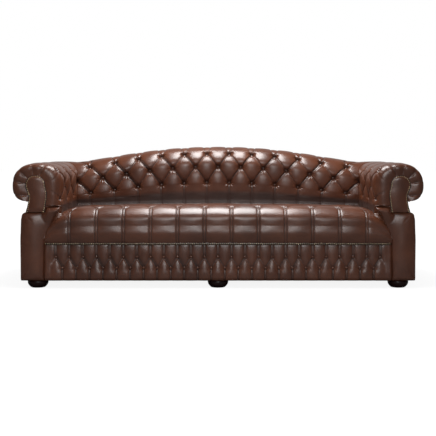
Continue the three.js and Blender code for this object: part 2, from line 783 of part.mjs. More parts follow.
function crossRails() {
  const near = postBack + clearance;
  const far = rollY + timber.postInset;
  const half = rail.crossWidth / 2;
  const top = railBottom + rail.crossHeight;
  const railAt = (x) => boxBetween([x - half, near, railBottom], [x + half, far, top]);
  addPiece("centre_cross_rail", boltBore(boltBore(railAt(0), 0, footFrontY), 0, footRearY), wood);
  eachSide((name, side) => addPiece(name + "_cross_rail", railAt(side * rollX * crossRailShare), wood));
}

function armTimber() {
  eachSide((name, side) => {
    const near = side * (rollX + postIn);
    const far = side * (rollX + timber.postInset);
    const low = Math.min(near, far);
    const high = Math.max(near, far);
    const top = topRailTop;
    addPiece(name + "_arm_front_post", boxBetween([low, postFront, railBottom], [high, postBack, top]), wood);
    const boardFront = frontY + facing.front + facing.thickness + clearance;
    const board = boxBetween([low, boardFront, facingBottom], [high, boardFront + boardThickness, top]);
    addPiece(name + "_facing_board", board, wood);
    const blockNear = postBack + clearance;
    const corner = boxBetween(
      [low, blockNear, railBottom],
      [high, blockNear + cornerBlock.length, railBottom + cornerBlock.height],
    );
    addPiece(name + "_corner_block", boltBore(corner, side * footX, footFrontY), wood);
    const rear = boxBetween([low, rollY + postIn, railBottom], [high, rollY + timber.postInset, top]);
    addPiece(name + "_rear_corner_post", boltBore(rear, side * footX, footRearY), wood);
    const topRail = boxBetween(
      [low, postBack + clearance, top - timber.topRailDepth],
      [high, rollY + postIn - clearance, top],
    );
    addPiece(name + "_arm_top_rail", topRail, wood);
    const sheetNear = side * (rollX + postIn);
    const sheetFar = side * (rollX + postIn + hessianThickness);
    const sheet = boxBetween(
      [Math.min(sheetNear, sheetFar), postBack + clearance, seatEndBase + lowerPadSetback],
      [Math.max(sheetNear, sheetFar), rollY + postIn - clearance, top - timber.topRailDepth - clearance],
    );
    addPiece(name + "_arm_hessian", sheet, hessian);
  });
}

function backTimber() {
  const reach = rollX + postIn - clearance;
  const bottom = topRailTop - timber.topRailDepth;
  const outline = humpedEdge(reach, bottom).concat(humpedEdge(reach, topRailTop).reverse());
  const near = rollY + postIn;
  addPiece("back_top_rail", boardBetween(outline, near, rollY + timber.postInset), wood);
  const low = seatEndBase + lowerPadSetback;
  const sheetTop = humpedEdge(reach, bottom).map(([x, z]) => [x, z - clearance]);
  const sheet = [[reach, low], [-reach, low]].reverse().concat(sheetTop.reverse());
  addPiece("back_hessian", boardBetween(sheet, near, near + hessianThickness), hessian);
  eachSide((name, side) => {
    const top = uprightColumns.map((column) => {
      const x = backColumnX(column);
      return [side * x, lifted(x, bottom) - clearance];
    });
    const foots = [[top[2][0], railBottom], [top[0][0], railBottom]];
    const face = near + hessianThickness + clearance;
    addPiece(name + "_back_upright", boardBetween(top.concat(foots), face, face + upright.depth), wood);
  });
}

// One spring: wire that swings from side to side between the front rail and the back rail.
function springWire(x, fromY, toY, z) {
  const loops = Math.round((toY - fromY) / springs.loopLength);
  const points = [new THREE.Vector3(x, fromY, z)];
  for (let turn = 0; turn < loops * 2; turn++) {
    const y = between(fromY, toY, (turn + 0.5) / (loops * 2));
    points.push(new THREE.Vector3(x + (turn % 2 ? -springs.swing : springs.swing), y, z));
  }
  points.push(new THREE.Vector3(x, toY, z));
  return wireThrough(points);
}

function wireThrough(points) {
  const radius = springs.wire / 2;
  const rings = points.map((point) => [[-1, -1], [1, -1], [1, 1], [-1, 1]].map(([across, up]) => (
    new THREE.Vector3(point.x + across * radius, point.y, point.z + up * radius)
  )));
  return ringSolid(rings, outlineOf([[-1, -1], [1, -1], [1, 1], [-1, 1]]));
}

function springUnit() {
  const z = railTop + clearance + springs.wire / 2;
  const fromY = (postFront + postBack) / 2;
  const toY = rollY + (railInner + railOuter) / 2;
  const deckReach = rollX + postIn - clearance;
  const first = springs.endMargin - deckReach;
  const spacing = (-2 * first) / (springCount - 1);
  let unit = null;
  for (let i = 0; i < springCount; i++) {
    const wire = asSolid(springWire(first + spacing * i, fromY, toY, z));
    unit = unit ? unit.add(wire) : wire;
  }
  const reach = -first + springs.swing;
  springTieShares.forEach((share) => {
    const y = between(fromY, toY, share);
    const radius = springs.wire / 2;
    unit = unit.add(asSolid(boxBetween([-reach, y - radius, z - radius], [reach, y + radius, z + radius])));
  });
  addPiece("seat_spring_unit", asGeometry(unit), steel);
  const deck = boxBetween(
    [-deckReach, postFront, deckBottom],
    [deckReach, rollY + postIn - clearance, deckBottom + deckThickness],
  );
  addPiece("seat_spring_cover", deck, hessian);
}

function covers() {
  addPiece("seat_pad", seatPad(), leather);
  addPiece("back_pad", backPad(), leather);
  addPiece("front_border", frontBorder(), leather);
  addPiece("back_border", alongBack(baseSection(), []), leather);
  addPiece("outside_back_panel", alongBack(outsideSection(), halfColumns()), leather);
  eachSide((name, side) => {
    addPiece(name + "_arm_pad", armPad(side), leather);
    addPiece(name + "_arm_block", armBlock(side), leather);
    addPiece(name + "_facing_panel", facingPanel(side), leather);
    addPiece(name + "_side_border", alongArm(baseSection(), side, postFront), leather);
    const panelFront = frontY + facing.front + facing.thickness + clearance;
    addPiece(name + "_outside_arm_panel", alongArm(outsideSection(), side, panelFront), leather);
    addPiece(name + "_facing_nails", facingNailBand(side), brass);
  });
}

function frontNailBand() {
  const far = frontY + border.face + seat.faceTuck - clearance;
  const half = nailBand.width / 2;
  const middleZ = borderTop + nailBand.rise;
  const band = boxBetween(
    [-(seatReach - nailBand.endMargin), far - nailBand.thickness, middleZ - half],
    [(seatReach - nailBand.endMargin), far, middleZ + half],
  );
  addPiece("front_nails", band, brass);
}

function footPlaces() {
  const places = [];
  [["front", footFrontY], ["rear", footRearY]].forEach(([row, y]) => {
    [["left", -footX], ["centre", 0], ["right", footX]].forEach(([where, x]) => {
      places.push({ name: where + "_" + row, x, y });
    });
  });
  return places;
}

function feet() {
  const top = railBottom - clearance;
  const bore = footBolt.radius + clearance;
  const profile = [
    [0, 0],
    [foot.sole, 0],
    [foot.waist + (foot.radius - foot.waist) / 2, footHeights.low],
    [foot.radius, footHeights.wide],
    [foot.waist, footHeights.high],
    [foot.neck, footHeights.neck],
    [foot.neck, top],
    [bore, top],
    [bore, footBolt.bottom - clearance],
    [0, footBolt.bottom - clearance],
  ];
  footPlaces().forEach(({ name, x, y }) => {
    const bun = new THREE.LatheGeometry(outlineOf(profile), footFaces).rotateX(Math.PI / 2);
    addPiece(name + "_foot", bun.translate(x, y, 0), darkWood);
    const bolt = uprightCylinder(footBolt.radius, x, y, footBolt.bottom, footBolt.top, boltFaces);
    addPiece(name + "_foot_bolt", bolt, steel);
  });
}

function dustCover() {
  const reach = rollX + railOuter - clearance;
  const bottom = railBottom - clearance - dustCoverThickness;
  const far = rollY + railOuter - clearance;
  let cover = asSolid(boxBetween([-reach, postFront, bottom], [reach, far, railBottom - clearance]));
  footPlaces().forEach(({ x, y }) => {
    const high = railBottom + cutOverrun;
    const hole = uprightCylinder(foot.neck + seam, x, y, bottom - cutOverrun, high, footFaces);
    cover = cover.subtract(asSolid(hole));
  });
  addPiece("dust_cover", asGeometry(cover), blackCloth);
}

baseRails();
crossRails();
armTimber();
backTimber();
springUnit();
covers();
frontNailBand();
feet();
dustCover();

export default sofa;
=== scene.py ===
import logging
import math
from dataclasses import dataclass, field
from enum import Enum
from typing import NamedTuple, Sequence

import bmesh
import bpy
import numpy as np
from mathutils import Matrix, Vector
from mathutils.geometry import tessellate_polygon


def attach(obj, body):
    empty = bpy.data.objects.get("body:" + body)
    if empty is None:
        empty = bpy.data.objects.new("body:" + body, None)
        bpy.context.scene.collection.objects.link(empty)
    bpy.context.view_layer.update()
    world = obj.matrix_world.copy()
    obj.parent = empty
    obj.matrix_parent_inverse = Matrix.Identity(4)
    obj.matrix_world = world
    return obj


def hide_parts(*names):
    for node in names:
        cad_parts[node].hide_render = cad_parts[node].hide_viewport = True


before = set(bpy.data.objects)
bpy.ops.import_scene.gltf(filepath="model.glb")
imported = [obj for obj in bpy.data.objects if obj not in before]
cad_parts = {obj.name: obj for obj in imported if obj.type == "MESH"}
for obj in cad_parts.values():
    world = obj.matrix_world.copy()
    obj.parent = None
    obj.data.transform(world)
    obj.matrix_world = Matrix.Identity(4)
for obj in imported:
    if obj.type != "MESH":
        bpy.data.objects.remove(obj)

# A camelback sofa in deep-buttoned leather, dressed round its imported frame. Metres, +Z up, the front faces -Y.
log = logging.getLogger("sofa")
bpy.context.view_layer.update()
BODY = "root"
SEED = 1871
QUARTER = math.pi / 2
# How far a cover stays back from the plane of its mitre
MITRE_GAP = 0.0003
# Even steps within one half pitch
STEPS = np.arange(12) / 12

Array = np.ndarray
Triple = tuple[float, float, float]
Colour = Triple
Profile = tuple[tuple[float, float], ...]
Material = bpy.types.Material
Object = bpy.types.Object
Socket = bpy.types.NodeSocket


class Slot(Enum):
    """The record's material slots of the pieces made here."""

    LEATHER = "leather"
    NAILS = "nails"
    FEET = "feet"


class Side(Enum):
    """The two sides, each with the sign of its place along the sofa."""

    LEFT = -1
    RIGHT = 1

    @property
    def word(self) -> str:
        """The side's name in the names of pieces."""
        return self.name.lower()


@dataclass(frozen=True)
class SofaSizes:
    """The sizes of the frame that the covers follow."""

    roll_x: float = 1.0975
    roll_y: float = 0.3375
    roll_z: float = 0.626
    front_y: float = -0.465
    outer_reach: float = 0.1335
    arm_inner: float = 0.169
    back_inner: float = 0.142
    rise: float = 0.125
    drop: float = 0.106
    neck_reach: float = 0.0335
    arm_power: float = 2.9
    back_power: float = 1.9
    outer_power: float = 2.0
    under_power: float = 3.2
    hump_rise: float = 0.099
    hump_span: float = 0.960
    hump_from: float = 0.460
    hump_to: float = 0.640
    seat_z: float = 0.490
    seam: float = 0.0006
    underside: float = 0.049
    border_top: float = 0.2697
    seat_reach: float = 1.039
    block_depth: float = 0.032

    @property
    def neck_angle(self) -> float:
        """The angle below the middle of the roll at which its underside ends."""
        return math.acos((self.neck_reach / self.outer_reach) ** (self.under_power / 2))

    @property
    def neck_z(self) -> float:
        """The height of the neck of the roll."""
        return self.roll_z - self.drop * math.sin(self.neck_angle) ** (2 / self.under_power)


SIZES = SofaSizes()


def lifted(x: Array, z: Array) -> Array:
    """Heights on the back, lifted with the hump.

    Args:
        x: places along the sofa.
        z: heights before the lift.

    Returns:
        The lifted heights.
    """
    across = np.minimum(np.abs(x) / SIZES.hump_span, 1)
    rise = SIZES.hump_rise * (1 - across**2.2) ** 1.5
    up = np.clip((z - SIZES.hump_from) / (SIZES.hump_to - SIZES.hump_from), 0, 1)
    return z + rise * (1 - (1 - up) ** 3.1)


def ripple(points: Array, wavelength: float, seed: int) -> Array:
    """A smooth seeded unevenness, from -1 to 1, at each point.

    Args:
        points: places, with x, y and z last.
        wavelength: the mean distance between two swells.
        seed: picks the pattern.

    Returns:
        One value for each point.
    """
    rng = np.random.default_rng(SEED + seed)
    total = np.zeros(points.shape[:-1])
    count = 14
    for _ in range(count):
        way = rng.normal(size=3)
        way *= 2 * math.pi / wavelength / np.linalg.norm(way) * rng.uniform(0.6, 1.5)
        total += np.sin(points @ way + rng.uniform(0, 2 * math.pi))
    return total / math.sqrt(count * 2)


def scatter(a: Array, b: Array, seed: int) -> Array:
    """A fixed value from 0 to 1 for each pair of whole numbers."""
    return np.mod(np.sin(a * 127.1 + b * 311.7 + seed * 74.7) * 43758.5453, 1.0)


def bell(away: Array, width: float, power: float = 2) -> Array:
    """A value that falls from 1 at no distance to almost 0 at two widths."""
    return np.exp(-((away / width) ** power))


def faded(place: Array, start: float, length: float) -> Array:
    """A smooth step from 0 at start to 1 a length beyond it, or before it where the length is negative."""
    share = np.clip((place - start) / length, 0, 1)
    return share * share * (3 - 2 * share)


def lattice_places(first: float, last: float, steps: Array = STEPS) -> Array:
    """The sampled places from one whole or half column or row to another.

    Args:
        first: where they start.
        last: where they end.
        steps: the steps within one half pitch.

    Returns:
        The places, both ends among them.
    """
    whole = np.arange(math.floor(first), math.ceil(last) + 1)
    places = (whole[:, None] + steps[None, :]).ravel()
    return places[(places >= first - 1e-9) & (places <= last + 1e-9)]


def button_places(rows: range, columns: range) -> list[tuple[Array, Array]]:
    """The column and the row of each button of a lattice, whose sum is even."""
    pairs = [(column, row) for row in rows for column in columns if (column + row) % 2 == 0]
    return [(np.array([float(column)]), np.array([float(row)])) for column, row in pairs]


@dataclass(frozen=True)
class Tufting:
    """Diamond tufting, with folds between its buttons. Its methods take places across and down the lattice."""

    column_pitch: float
    rows: tuple[float, ...]
    marks: tuple[float, ...]
    first: int
    last: int
    button: float
    crease: float
    crown: float = 0.50
    spread: float = 0.0150
    wrinkle: float = 0.0020
    line: float = 0.0036
    line_width: float = 0.0031
    tuck: float = 0.0085
    tuck_width: float = 0.0024
    lean: float = 3.0
    seed: int = 0

    def between(self, row: Array) -> Array:
        """The nearest rows among those from the first buttons to the last."""
        return np.clip(row, self.first, self.last)

    def shares(self, row: Array, length: float) -> tuple[Array, Array, Array]:
        """How far the diamonds, the pleats below them and those above them hold at a row."""
        below, above = faded(row, self.last, length), faded(row, self.first, -length)
        return (1 - below) * (1 - above), below, above

    def down(self, row: Array | float) -> Array:
        """The distance down the cover at a row, in metres."""
        return np.interp(row, self.rows, self.marks)

    def folds(self, column: Array, row: Array) -> Array:
        """How far the leather lies below its crown because of the folds.

        Args:
            column: places across the lattice.
            row: places down the lattice.

        Returns:
            The depths.
        """
        a, b = (column + row) / 2, (column - row) / 2
        da, db = np.abs(a - np.round(a)), np.abs(b - np.round(b))
        pillow = ((1 - (1 - 2 * da) ** 2) * (1 - (1 - 2 * db) ** 2)) ** self.crown
        fullness = 0.93 + 0.14 * scatter(np.floor(a), np.floor(b), self.seed)
        return self.crease * (1 - pillow) * fullness

    def from_button(self, column: Array, row: Array) -> tuple[Array, Array, Array]:
        """The way from the nearest button.

        Args:
            column: places across the lattice.
            row: places down the lattice.

        Returns:
            The distances, the angles and a fixed value from 0 to 1 for each button.
        """
        column, row = np.broadcast_arrays(column, row)
        away = np.full(column.shape, 9.0)
        turn, own = np.zeros(column.shape), np.zeros(column.shape)
        for button_row in range(self.first, self.last + 1):
            odd = button_row % 2
            button_column = 2 * np.round((column - odd) / 2) + odd
            across = (column - button_column) * self.column_pitch
            down = self.down(row) - self.down(button_row)
            length = np.hypot(across, down)
            closer = length < away
            away = np.where(closer, length, away)
            turn = np.where(closer, np.arctan2(down, across), turn)
            own = np.where(closer, scatter(button_column, button_row, self.seed + 5), own)
        return away, turn, own

    def wrinkles(self, column: Array, row: Array) -> Array:
        """How deep the small wrinkles are that fan out from the buttons.

        Args:
            column: places across the lattice.
            row: places down the lattice.

        Returns:
            The depths.
        """
        away, turn, own = self.from_button(column, row)
        wave = np.sin(np.round(9 + 4 * own) * turn + 6.28 * own)
        return self.wrinkle * wave * bell(away - 1.35 * self.spread, 0.7 * self.spread)

    def tucks(self, column: Array, row: Array) -> Array:
        """The folds between the buttons, as pairs of narrow lines, crisp on the diagonal that leans outwards.

        Args:
            column: places across the lattice.
            row: places down the lattice.

        Returns:
            How strongly a line runs there, from 0 to 1.
        """
        lean = np.tanh(column / self.lean)
        total = np.zeros(np.broadcast(column, row).shape)
        for way, share in ((1, 0.85 + 0.15 * lean), (-1, 0.85 - 0.35 * lean)):
            cell = (column + way * row) / 2
            off = (cell - np.round(cell)) * 1.35 * self.column_pitch
            beside = off - way * np.sign(lean + 1e-9) * self.tuck
            second = bell(beside, self.tuck_width) * np.abs(lean)
            total = np.maximum(total, share * np.maximum(bell(off, self.line_width), 0.7 * second * share))
        return total

    def pits(self, column: Array, row: Array) -> Array:
        """How far the leather is drawn in round the buttons.

        Args:
            column: places across the lattice.
            row: places down the lattice.

        Returns:
            The depths.
        """
        away, _, _ = self.from_button(column, row)
        pit = 0.75 * bell(away, self.spread) + 0.25 * bell(away, 2.2 * self.spread, 1.8)
        return (self.button - self.crease) * pit

    def pit_shade(self, column: Array, row: Array) -> Array:
        """How much painted shade the leather takes close beside a button, from 0 to 1."""
        return bell(self.from_button(column, row)[0], 0.92 * self.spread, 3)

    def shade(self, column: Array, row: Array) -> Array:
        """How much painted shade the leather takes in a fold or beside a button, from 0 to 1."""
        return np.maximum(self.pit_shade(column, row), 0.9 * self.tucks(column, row))


@dataclass(frozen=True)
class Pleats:
    """Straight double folds at every second column."""

    column_pitch: float
    odd: bool
    depth: float
    band: float = 0.006
    crown: float = 0.5
    line: float = 0.0028
    line_width: float = 0.0022
    shade_width: float = 0.0026
    flare: float = 0.0

    def away(self, column: Array) -> Array:
        """The distance across from the nearest pleat, in metres."""
        half = (column + int(self.odd)) / 2
        return np.abs(half - np.round(half)) * 2 * self.column_pitch

    def sink(self, column: Array, beyond: Array | float = 0.0) -> Array:
        """How far the leather lies below the crown of its cover.

        Args:
            column: places across the lattice.
            beyond: the distance along the pleats from their buttons, in metres, over which they spread.

        Returns:
            The depths.
        """
        away, half = self.away(column), self.band + self.flare * beyond
        share = np.clip((away - half) / (self.column_pitch - half), 0, 1)
        crown = (1 - (1 - share) ** 2) ** self.crown
        return self.depth * (1 - crown) - 0.5 * self.line * np.clip(1 - away / half, 0, 1)

    def lines(self, column: Array, beyond: Array | float = 0.0) -> Array:
        """How deep the two lines of each pleat are, with the arguments of the sink."""
        return self.line * bell(self.away(column) - self.band - self.flare * beyond, self.line_width)

    def shade(self, column: Array, beyond: Array | float = 0.0) -> Array:
        """How much painted shade the leather takes in a pleat, from 0 to 1, with the arguments of the sink."""
        return bell(self.away(column) - self.band - self.flare * beyond, self.shade_width)


def refined(grid: Array) -> Array:
    """Twice as many points each way, on smooth curves through the given ones.

    Args:
        grid: values by ring and by place round the ring, which is closed.

    Returns:
        The finer grid.
    """
    wide = np.concatenate([grid[:1], grid, grid[-1:]])
    rings = np.empty((2 * len(grid) - 1, *grid.shape[1:]))
    rings[0::2] = grid
    rings[1::2] = (9 * (grid[:-1] + grid[1:]) - wide[:-3] - wide[3:]) / 16
    ahead = np.roll(rings, -1, axis=1)
    fine = np.empty((len(rings), 2 * rings.shape[1], *rings.shape[2:]))
    fine[:, 0::2] = rings
    fine[:, 1::2] = (9 * (rings + ahead) - np.roll(rings, 1, axis=1) - np.roll(rings, -2, axis=1)) / 16
    return fine


def doubled(values: Array, ring: bool, hidden: float = 0.0) -> Array:
    """Values at the places of the finer grid, one more between each two.

    Args:
        values: one for each place of the grid.
        ring: whether the last place is followed by the first.
        hidden: the value between two that are far apart, where the leather is out of sight.

    Returns:
        The finer values.
    """
    ahead = np.roll(values, -1)
    middle = np.where(np.abs(ahead - values) > 1.01, hidden, (values + ahead) / 2)
    fine = np.stack([values, middle], axis=-1).ravel()
    return fine if ring else fine[:-1]


def lattices(along: Array, rows: Array, hidden: float) -> tuple[Array, Array, list[Array]]:
    """The lattice of a cover's points, and that of the finer grid.

    Args:
        along: the column of each ring.
        rows: the row of each place round a ring.
        hidden: the row of what is out of sight.

    Returns:
        The columns, the rows, and both again for the finer grid.
    """
    column, row = np.meshgrid(along, rows, indexing="ij")
    return column, row, np.meshgrid(doubled(along, False), doubled(rows, True, hidden), indexing="ij")


def vertices_of(mesh: bpy.types.Mesh, kind: str = "co") -> Array:
    """The places of a mesh's vertices, or another of their vectors, one row each.

    Args:
        mesh: the mesh.
        kind: which vector.

    Returns:
        The vectors.
    """
    values = np.empty(len(mesh.vertices) * 3)
    mesh.vertices.foreach_get(kind, values)
    return values.reshape(-1, 3)


def move_vertices(made: Object, places: Array) -> None:
    """Moves the vertices of an object to new places."""
    made.data.vertices.foreach_set("co", places.ravel())
    made.data.update()


def linked(name: str, mesh: bpy.types.Mesh) -> Object:
    """A new object with a mesh, linked to the scene.

    Args:
        name: the object's name.
        mesh: its mesh.

    Returns:
        The object.
    """
    made = bpy.data.objects.new(name, mesh)
    bpy.context.scene.collection.objects.link(made)
    return made


def dressable(mesh: bpy.types.Mesh, shade: Array | None = None) -> None:
    """Makes the faces of a mesh smooth and keeps how deep each vertex lies in a fold, as painted shade for its finish.

    Args:
        mesh: the mesh.
        shade: the depth of each vertex in a fold, from 0 to 1, painted as shade.
    """
    mesh.polygons.foreach_set("use_smooth", np.ones(len(mesh.polygons), bool))
    if "shade" not in mesh.attributes:
        value = np.zeros(len(mesh.vertices)) if shade is None else shade.reshape(-1)
        mesh.attributes.new("shade", "FLOAT", "POINT").data.foreach_set("value", value.astype(np.float32))


def face_outwards(mesh: bpy.types.Mesh) -> None:
    """Turns all faces of a mesh whose volume is negative because they point inwards.

    Args:
        mesh: the mesh, whose surface is closed.
    """
    mesh.calc_loop_triangles()
    corners = np.empty(len(mesh.loop_triangles) * 3, np.int32)
    mesh.loop_triangles.foreach_get("vertices", corners)
    points = vertices_of(mesh)[corners.reshape(-1, 3)]
    if np.einsum("ij,ij->i", points[:, 0], np.cross(points[:, 1], points[:, 2])).sum() < 0:
        mesh.flip_normals()


def made_object(name: str, points: Array, faces: Sequence, shade: Array | None = None) -> Object:
    """A smooth object from points and faces, turned to face outwards.

    Args:
        name: the object's name.
        points: one row for each vertex.
        faces: vertex numbers of each face.
        shade: the shade value of each vertex.

    Returns:
        The object, linked to the scene.
    """
    mesh = bpy.data.meshes.new(name)
    mesh.from_pydata(points.tolist(), [], faces)
    mesh.update()
    dressable(mesh, shade)
    face_outwards(mesh)
    return linked(name, mesh)


def strip(name: str, rings: Array, shade: Array | None = None) -> Object:
    """A closed strip through rings of points, with a flat face across each end.

    Args:
        name: the object's name.
        rings: points by ring and by place round the ring.
        shade: the shade value of each point.

    Returns:
        The object.
    """
    count, around = rings.shape[:2]
    number = np.arange(count * around).reshape(count, around)
    ahead = np.roll(number, -1, axis=1)
    faces = np.stack([number[:-1], number[1:], ahead[1:], ahead[:-1]], axis=-1).reshape(-1, 4).tolist()
    for ring in (0, count - 1):
        for corner in tessellate_polygon([[Vector(point) for point in rings[ring]]]):
            a, b, c = (int(number[ring][i]) for i in corner)
            faces.append((a, c, b) if ring else (a, b, c))
    made = made_object(name, rings.reshape(-1, 3), faces, shade)
    shell = bmesh.new()
    shell.from_mesh(made.data)
    bmesh.ops.recalc_face_normals(shell, faces=shell.faces)
    shell.to_mesh(made.data)
    shell.free()
    face_outwards(made.data)
    return made


@dataclass(frozen=True)
class Filling:
    """Stuffing that swells a closed cover between its folds and buttons, as simulated cloth under pressure."""

    pressure: float = 4.0
    frames: int = 20
    limit: float = 0.008
    stiffness: float = 15.0
    bending: float = 0.4
    mass: float = 0.3
    quality: int = 4

    def swell(self, made: Object, held: Array) -> None:
        """Swells an object, and keeps the result in its mesh.

        Args:
            made: the object.
            held: how firmly each vertex is held, from 0 to 1.
        """
        rest = vertices_of(made.data)
        group = made.vertex_groups.new(name="held")
        levels = np.round(held, 1)
        for level in np.unique(levels):
            group.add(np.flatnonzero(levels == level).tolist(), float(level), "REPLACE")
        cloth = made.modifiers.new("filling", "CLOTH")
        settings = cloth.settings
        settings.quality, settings.mass = self.quality, self.mass
        settings.tension_stiffness = settings.compression_stiffness = self.stiffness
        settings.shear_stiffness = self.stiffness / 3
        settings.bending_stiffness = self.bending
        settings.use_pressure, settings.uniform_pressure_force = True, self.pressure
        settings.vertex_group_mass = "held"
        settings.effector_weights.gravity = 0
        cloth.collision_settings.use_collision = False
        cloth.point_cache.frame_start, cloth.point_cache.frame_end = 1, self.frames
        scene = bpy.context.scene
        for number in range(1, self.frames + 1):
            scene.frame_set(number)
        moved = vertices_of(made.evaluated_get(bpy.context.evaluated_depsgraph_get()).data) - rest
        made.modifiers.remove(cloth)
        scene.frame_set(1)
        far = np.linalg.norm(moved, axis=1, keepdims=True)
        moved *= np.minimum(1, self.limit / np.maximum(far, 1e-9))
        move_vertices(made, rest + moved)
        made.vertex_groups.clear()

    def cover(self, name: str, rings: Array, held: Array, shade: Array, lines: Array) -> Object:
        """A stuffed strip, which swells between what holds it, is made finer, and takes its fine lines.

        Args:
            name: the object's name.
            rings: points by ring and by place round the ring.
            held: how firmly each point is held.
            shade: the shade value of each point of the finer grid.
            lines: how deep each of them lies in a fine line.

        Returns:
            The object.
        """
        rough = strip(name + "_rough", rings)
        self.swell(rough, held.reshape(-1))
        rings = vertices_of(rough.data).reshape(rings.shape)
        bpy.data.objects.remove(rough)
        made = strip(name, refined(rings), np.clip(shade, 0, 1))
        inwards = -vertices_of(made.data, "normal")
        move_vertices(made, vertices_of(made.data) + inwards * lines.reshape(-1, 1))
        return made


class Place(NamedTuple):
    """A point on a cover and the way its surface faces."""

    point: Sequence[float]
    facing: Sequence[float]


class Course(NamedTuple):
    """The section of the rolls at some rows: the reach of an arm's surface, that of the back's, and the height."""

    arm: Array
    back: Array
    z: Array


def roll_point(angle: Array, inner: float, power: float) -> tuple[Array, Array]:
    """A point of the roll's section.

    Args:
        angle: the angle above the level, from the outer side.
        inner: the reach of its inner side.
        power: the fullness of its inner side.

    Returns:
        The reach and the height.
    """
    cos, sin = np.cos(angle), np.sin(angle)
    exponent = np.where(sin < 0, SIZES.under_power, np.where(cos < 0, power, SIZES.outer_power))
    reach = np.where(cos < 0, -inner, SIZES.outer_reach) * np.abs(cos) ** (2 / exponent)
    rise = np.where(sin < 0, -SIZES.drop, SIZES.rise) * np.abs(sin) ** (2 / exponent)
    return reach, SIZES.roll_z + rise


@dataclass(frozen=True)
class RollSection:
    """The section that the back and arm pads share: down the face, over the roll and round the timber."""

    heights: tuple[float, ...] = (0.746, 0.716, 0.618, 0.532, SIZES.seat_z + SIZES.seam, 0.300)
    foot_rows: tuple[float, ...] = (5.0, 4.6, 4.30, 4.235, 4.218, 4.205, 4.192, 4.184, 4.176, 4.168, 4.160, 4.147,
                                    4.134, 4.108, 4.082, 4.04)
    back_face: Profile = (
        (0.420, 0.2365), (0.449, 0.2365), (0.454, 0.228), (0.457, 0.190), (0.460, 0.148), (0.465, 0.135),
        (0.475, 0.132), (0.500, 0.138), (0.532, 0.1460), (SIZES.roll_z, SIZES.back_inner))
    arm_low_reach: float = 0.1605
    over_steps: int = 34
    core_shares: tuple[float, ...] = (0.0, 0.05, 0.35, 0.5, 1.0)
    core_corners: Profile = (
        (SIZES.neck_reach - 0.004, SIZES.neck_z + 0.004), (0.0243, SIZES.neck_z + 0.012), (0.0243, 0.6503),
        (-0.0483, 0.6503), (-0.0483, 0.300))

    def course(self, row: Array) -> Course:
        """The section at each row: 4 at the seat, 0 at the top row, and over the roll from there to -1.

        Args:
            row: rows from 5 to -1.

        Returns:
            The section there.
        """
        z = np.interp(row, range(6), self.heights)
        top = SIZES.roll_z
        up = np.clip((z - top) / SIZES.rise, 0, 1)
        arm_up = -SIZES.arm_inner * (1 - up**SIZES.arm_power) ** (1 / SIZES.arm_power)
        back_up = -SIZES.back_inner * (1 - up**SIZES.back_power) ** (1 / SIZES.back_power)
        arm_down = np.interp(z, [SIZES.seat_z, top], [-self.arm_low_reach, -SIZES.arm_inner])
        back_down = -np.interp(z, *zip(*self.back_face))
        arm, back = np.where(z > top, arm_up, arm_down), np.where(z > top, back_up, back_down)
        start = math.pi - math.asin(((self.heights[0] - top) / SIZES.rise) ** (SIZES.arm_power / 2))
        angle = start + (-SIZES.neck_angle - start) * np.clip(-row, 0, 1)
        arm_over, z_over = roll_point(angle, SIZES.arm_inner, SIZES.arm_power)
        back_over, _ = roll_point(angle, SIZES.back_inner, SIZES.back_power)
        over = row < 0
        return Course(np.where(over, arm_over, arm), np.where(over, back_over, back), np.where(over, z_over, z))

    def whole(self) -> tuple[Array, Course]:
        """The rows of all points, under -1 round the timber, and the section there.

        Returns:
            The rows and their section.
        """
        over = -np.linspace(0, 1, self.over_steps + 1)[1:]
        timber = -1 - np.linspace(0.1, 1, 14)
        rows = np.concatenate([self.foot_rows, lattice_places(0, 4)[::-1], over, timber])
        course = self.course(rows)
        core = rows < -1
        share = (-1 - rows[core] - 0.1) / 0.9
        reaches, heights = zip(*self.core_corners)
        course.arm[core] = course.back[core] = np.interp(share, self.core_shares, reaches)
        course.z[core] = np.interp(share, self.core_shares, heights)
        return rows, course


def drawn_in(reach: Array, z: Array, sink: Array) -> tuple[Array, Array]:
    """Points drawn in from the cover: level on the inside face, towards the middle of the roll above it.

    Args:
        reach: their reach.
        z: their height.
        sink: how far they are drawn in.

    Returns:
        The new reach and height.
    """
    core_z = np.where(reach < 0, np.minimum(z, SIZES.roll_z), SIZES.roll_z)
    length = np.maximum(np.hypot(reach, z - core_z), 1e-6)
    return reach * (1 - sink / length), z - (z - core_z) * sink / length


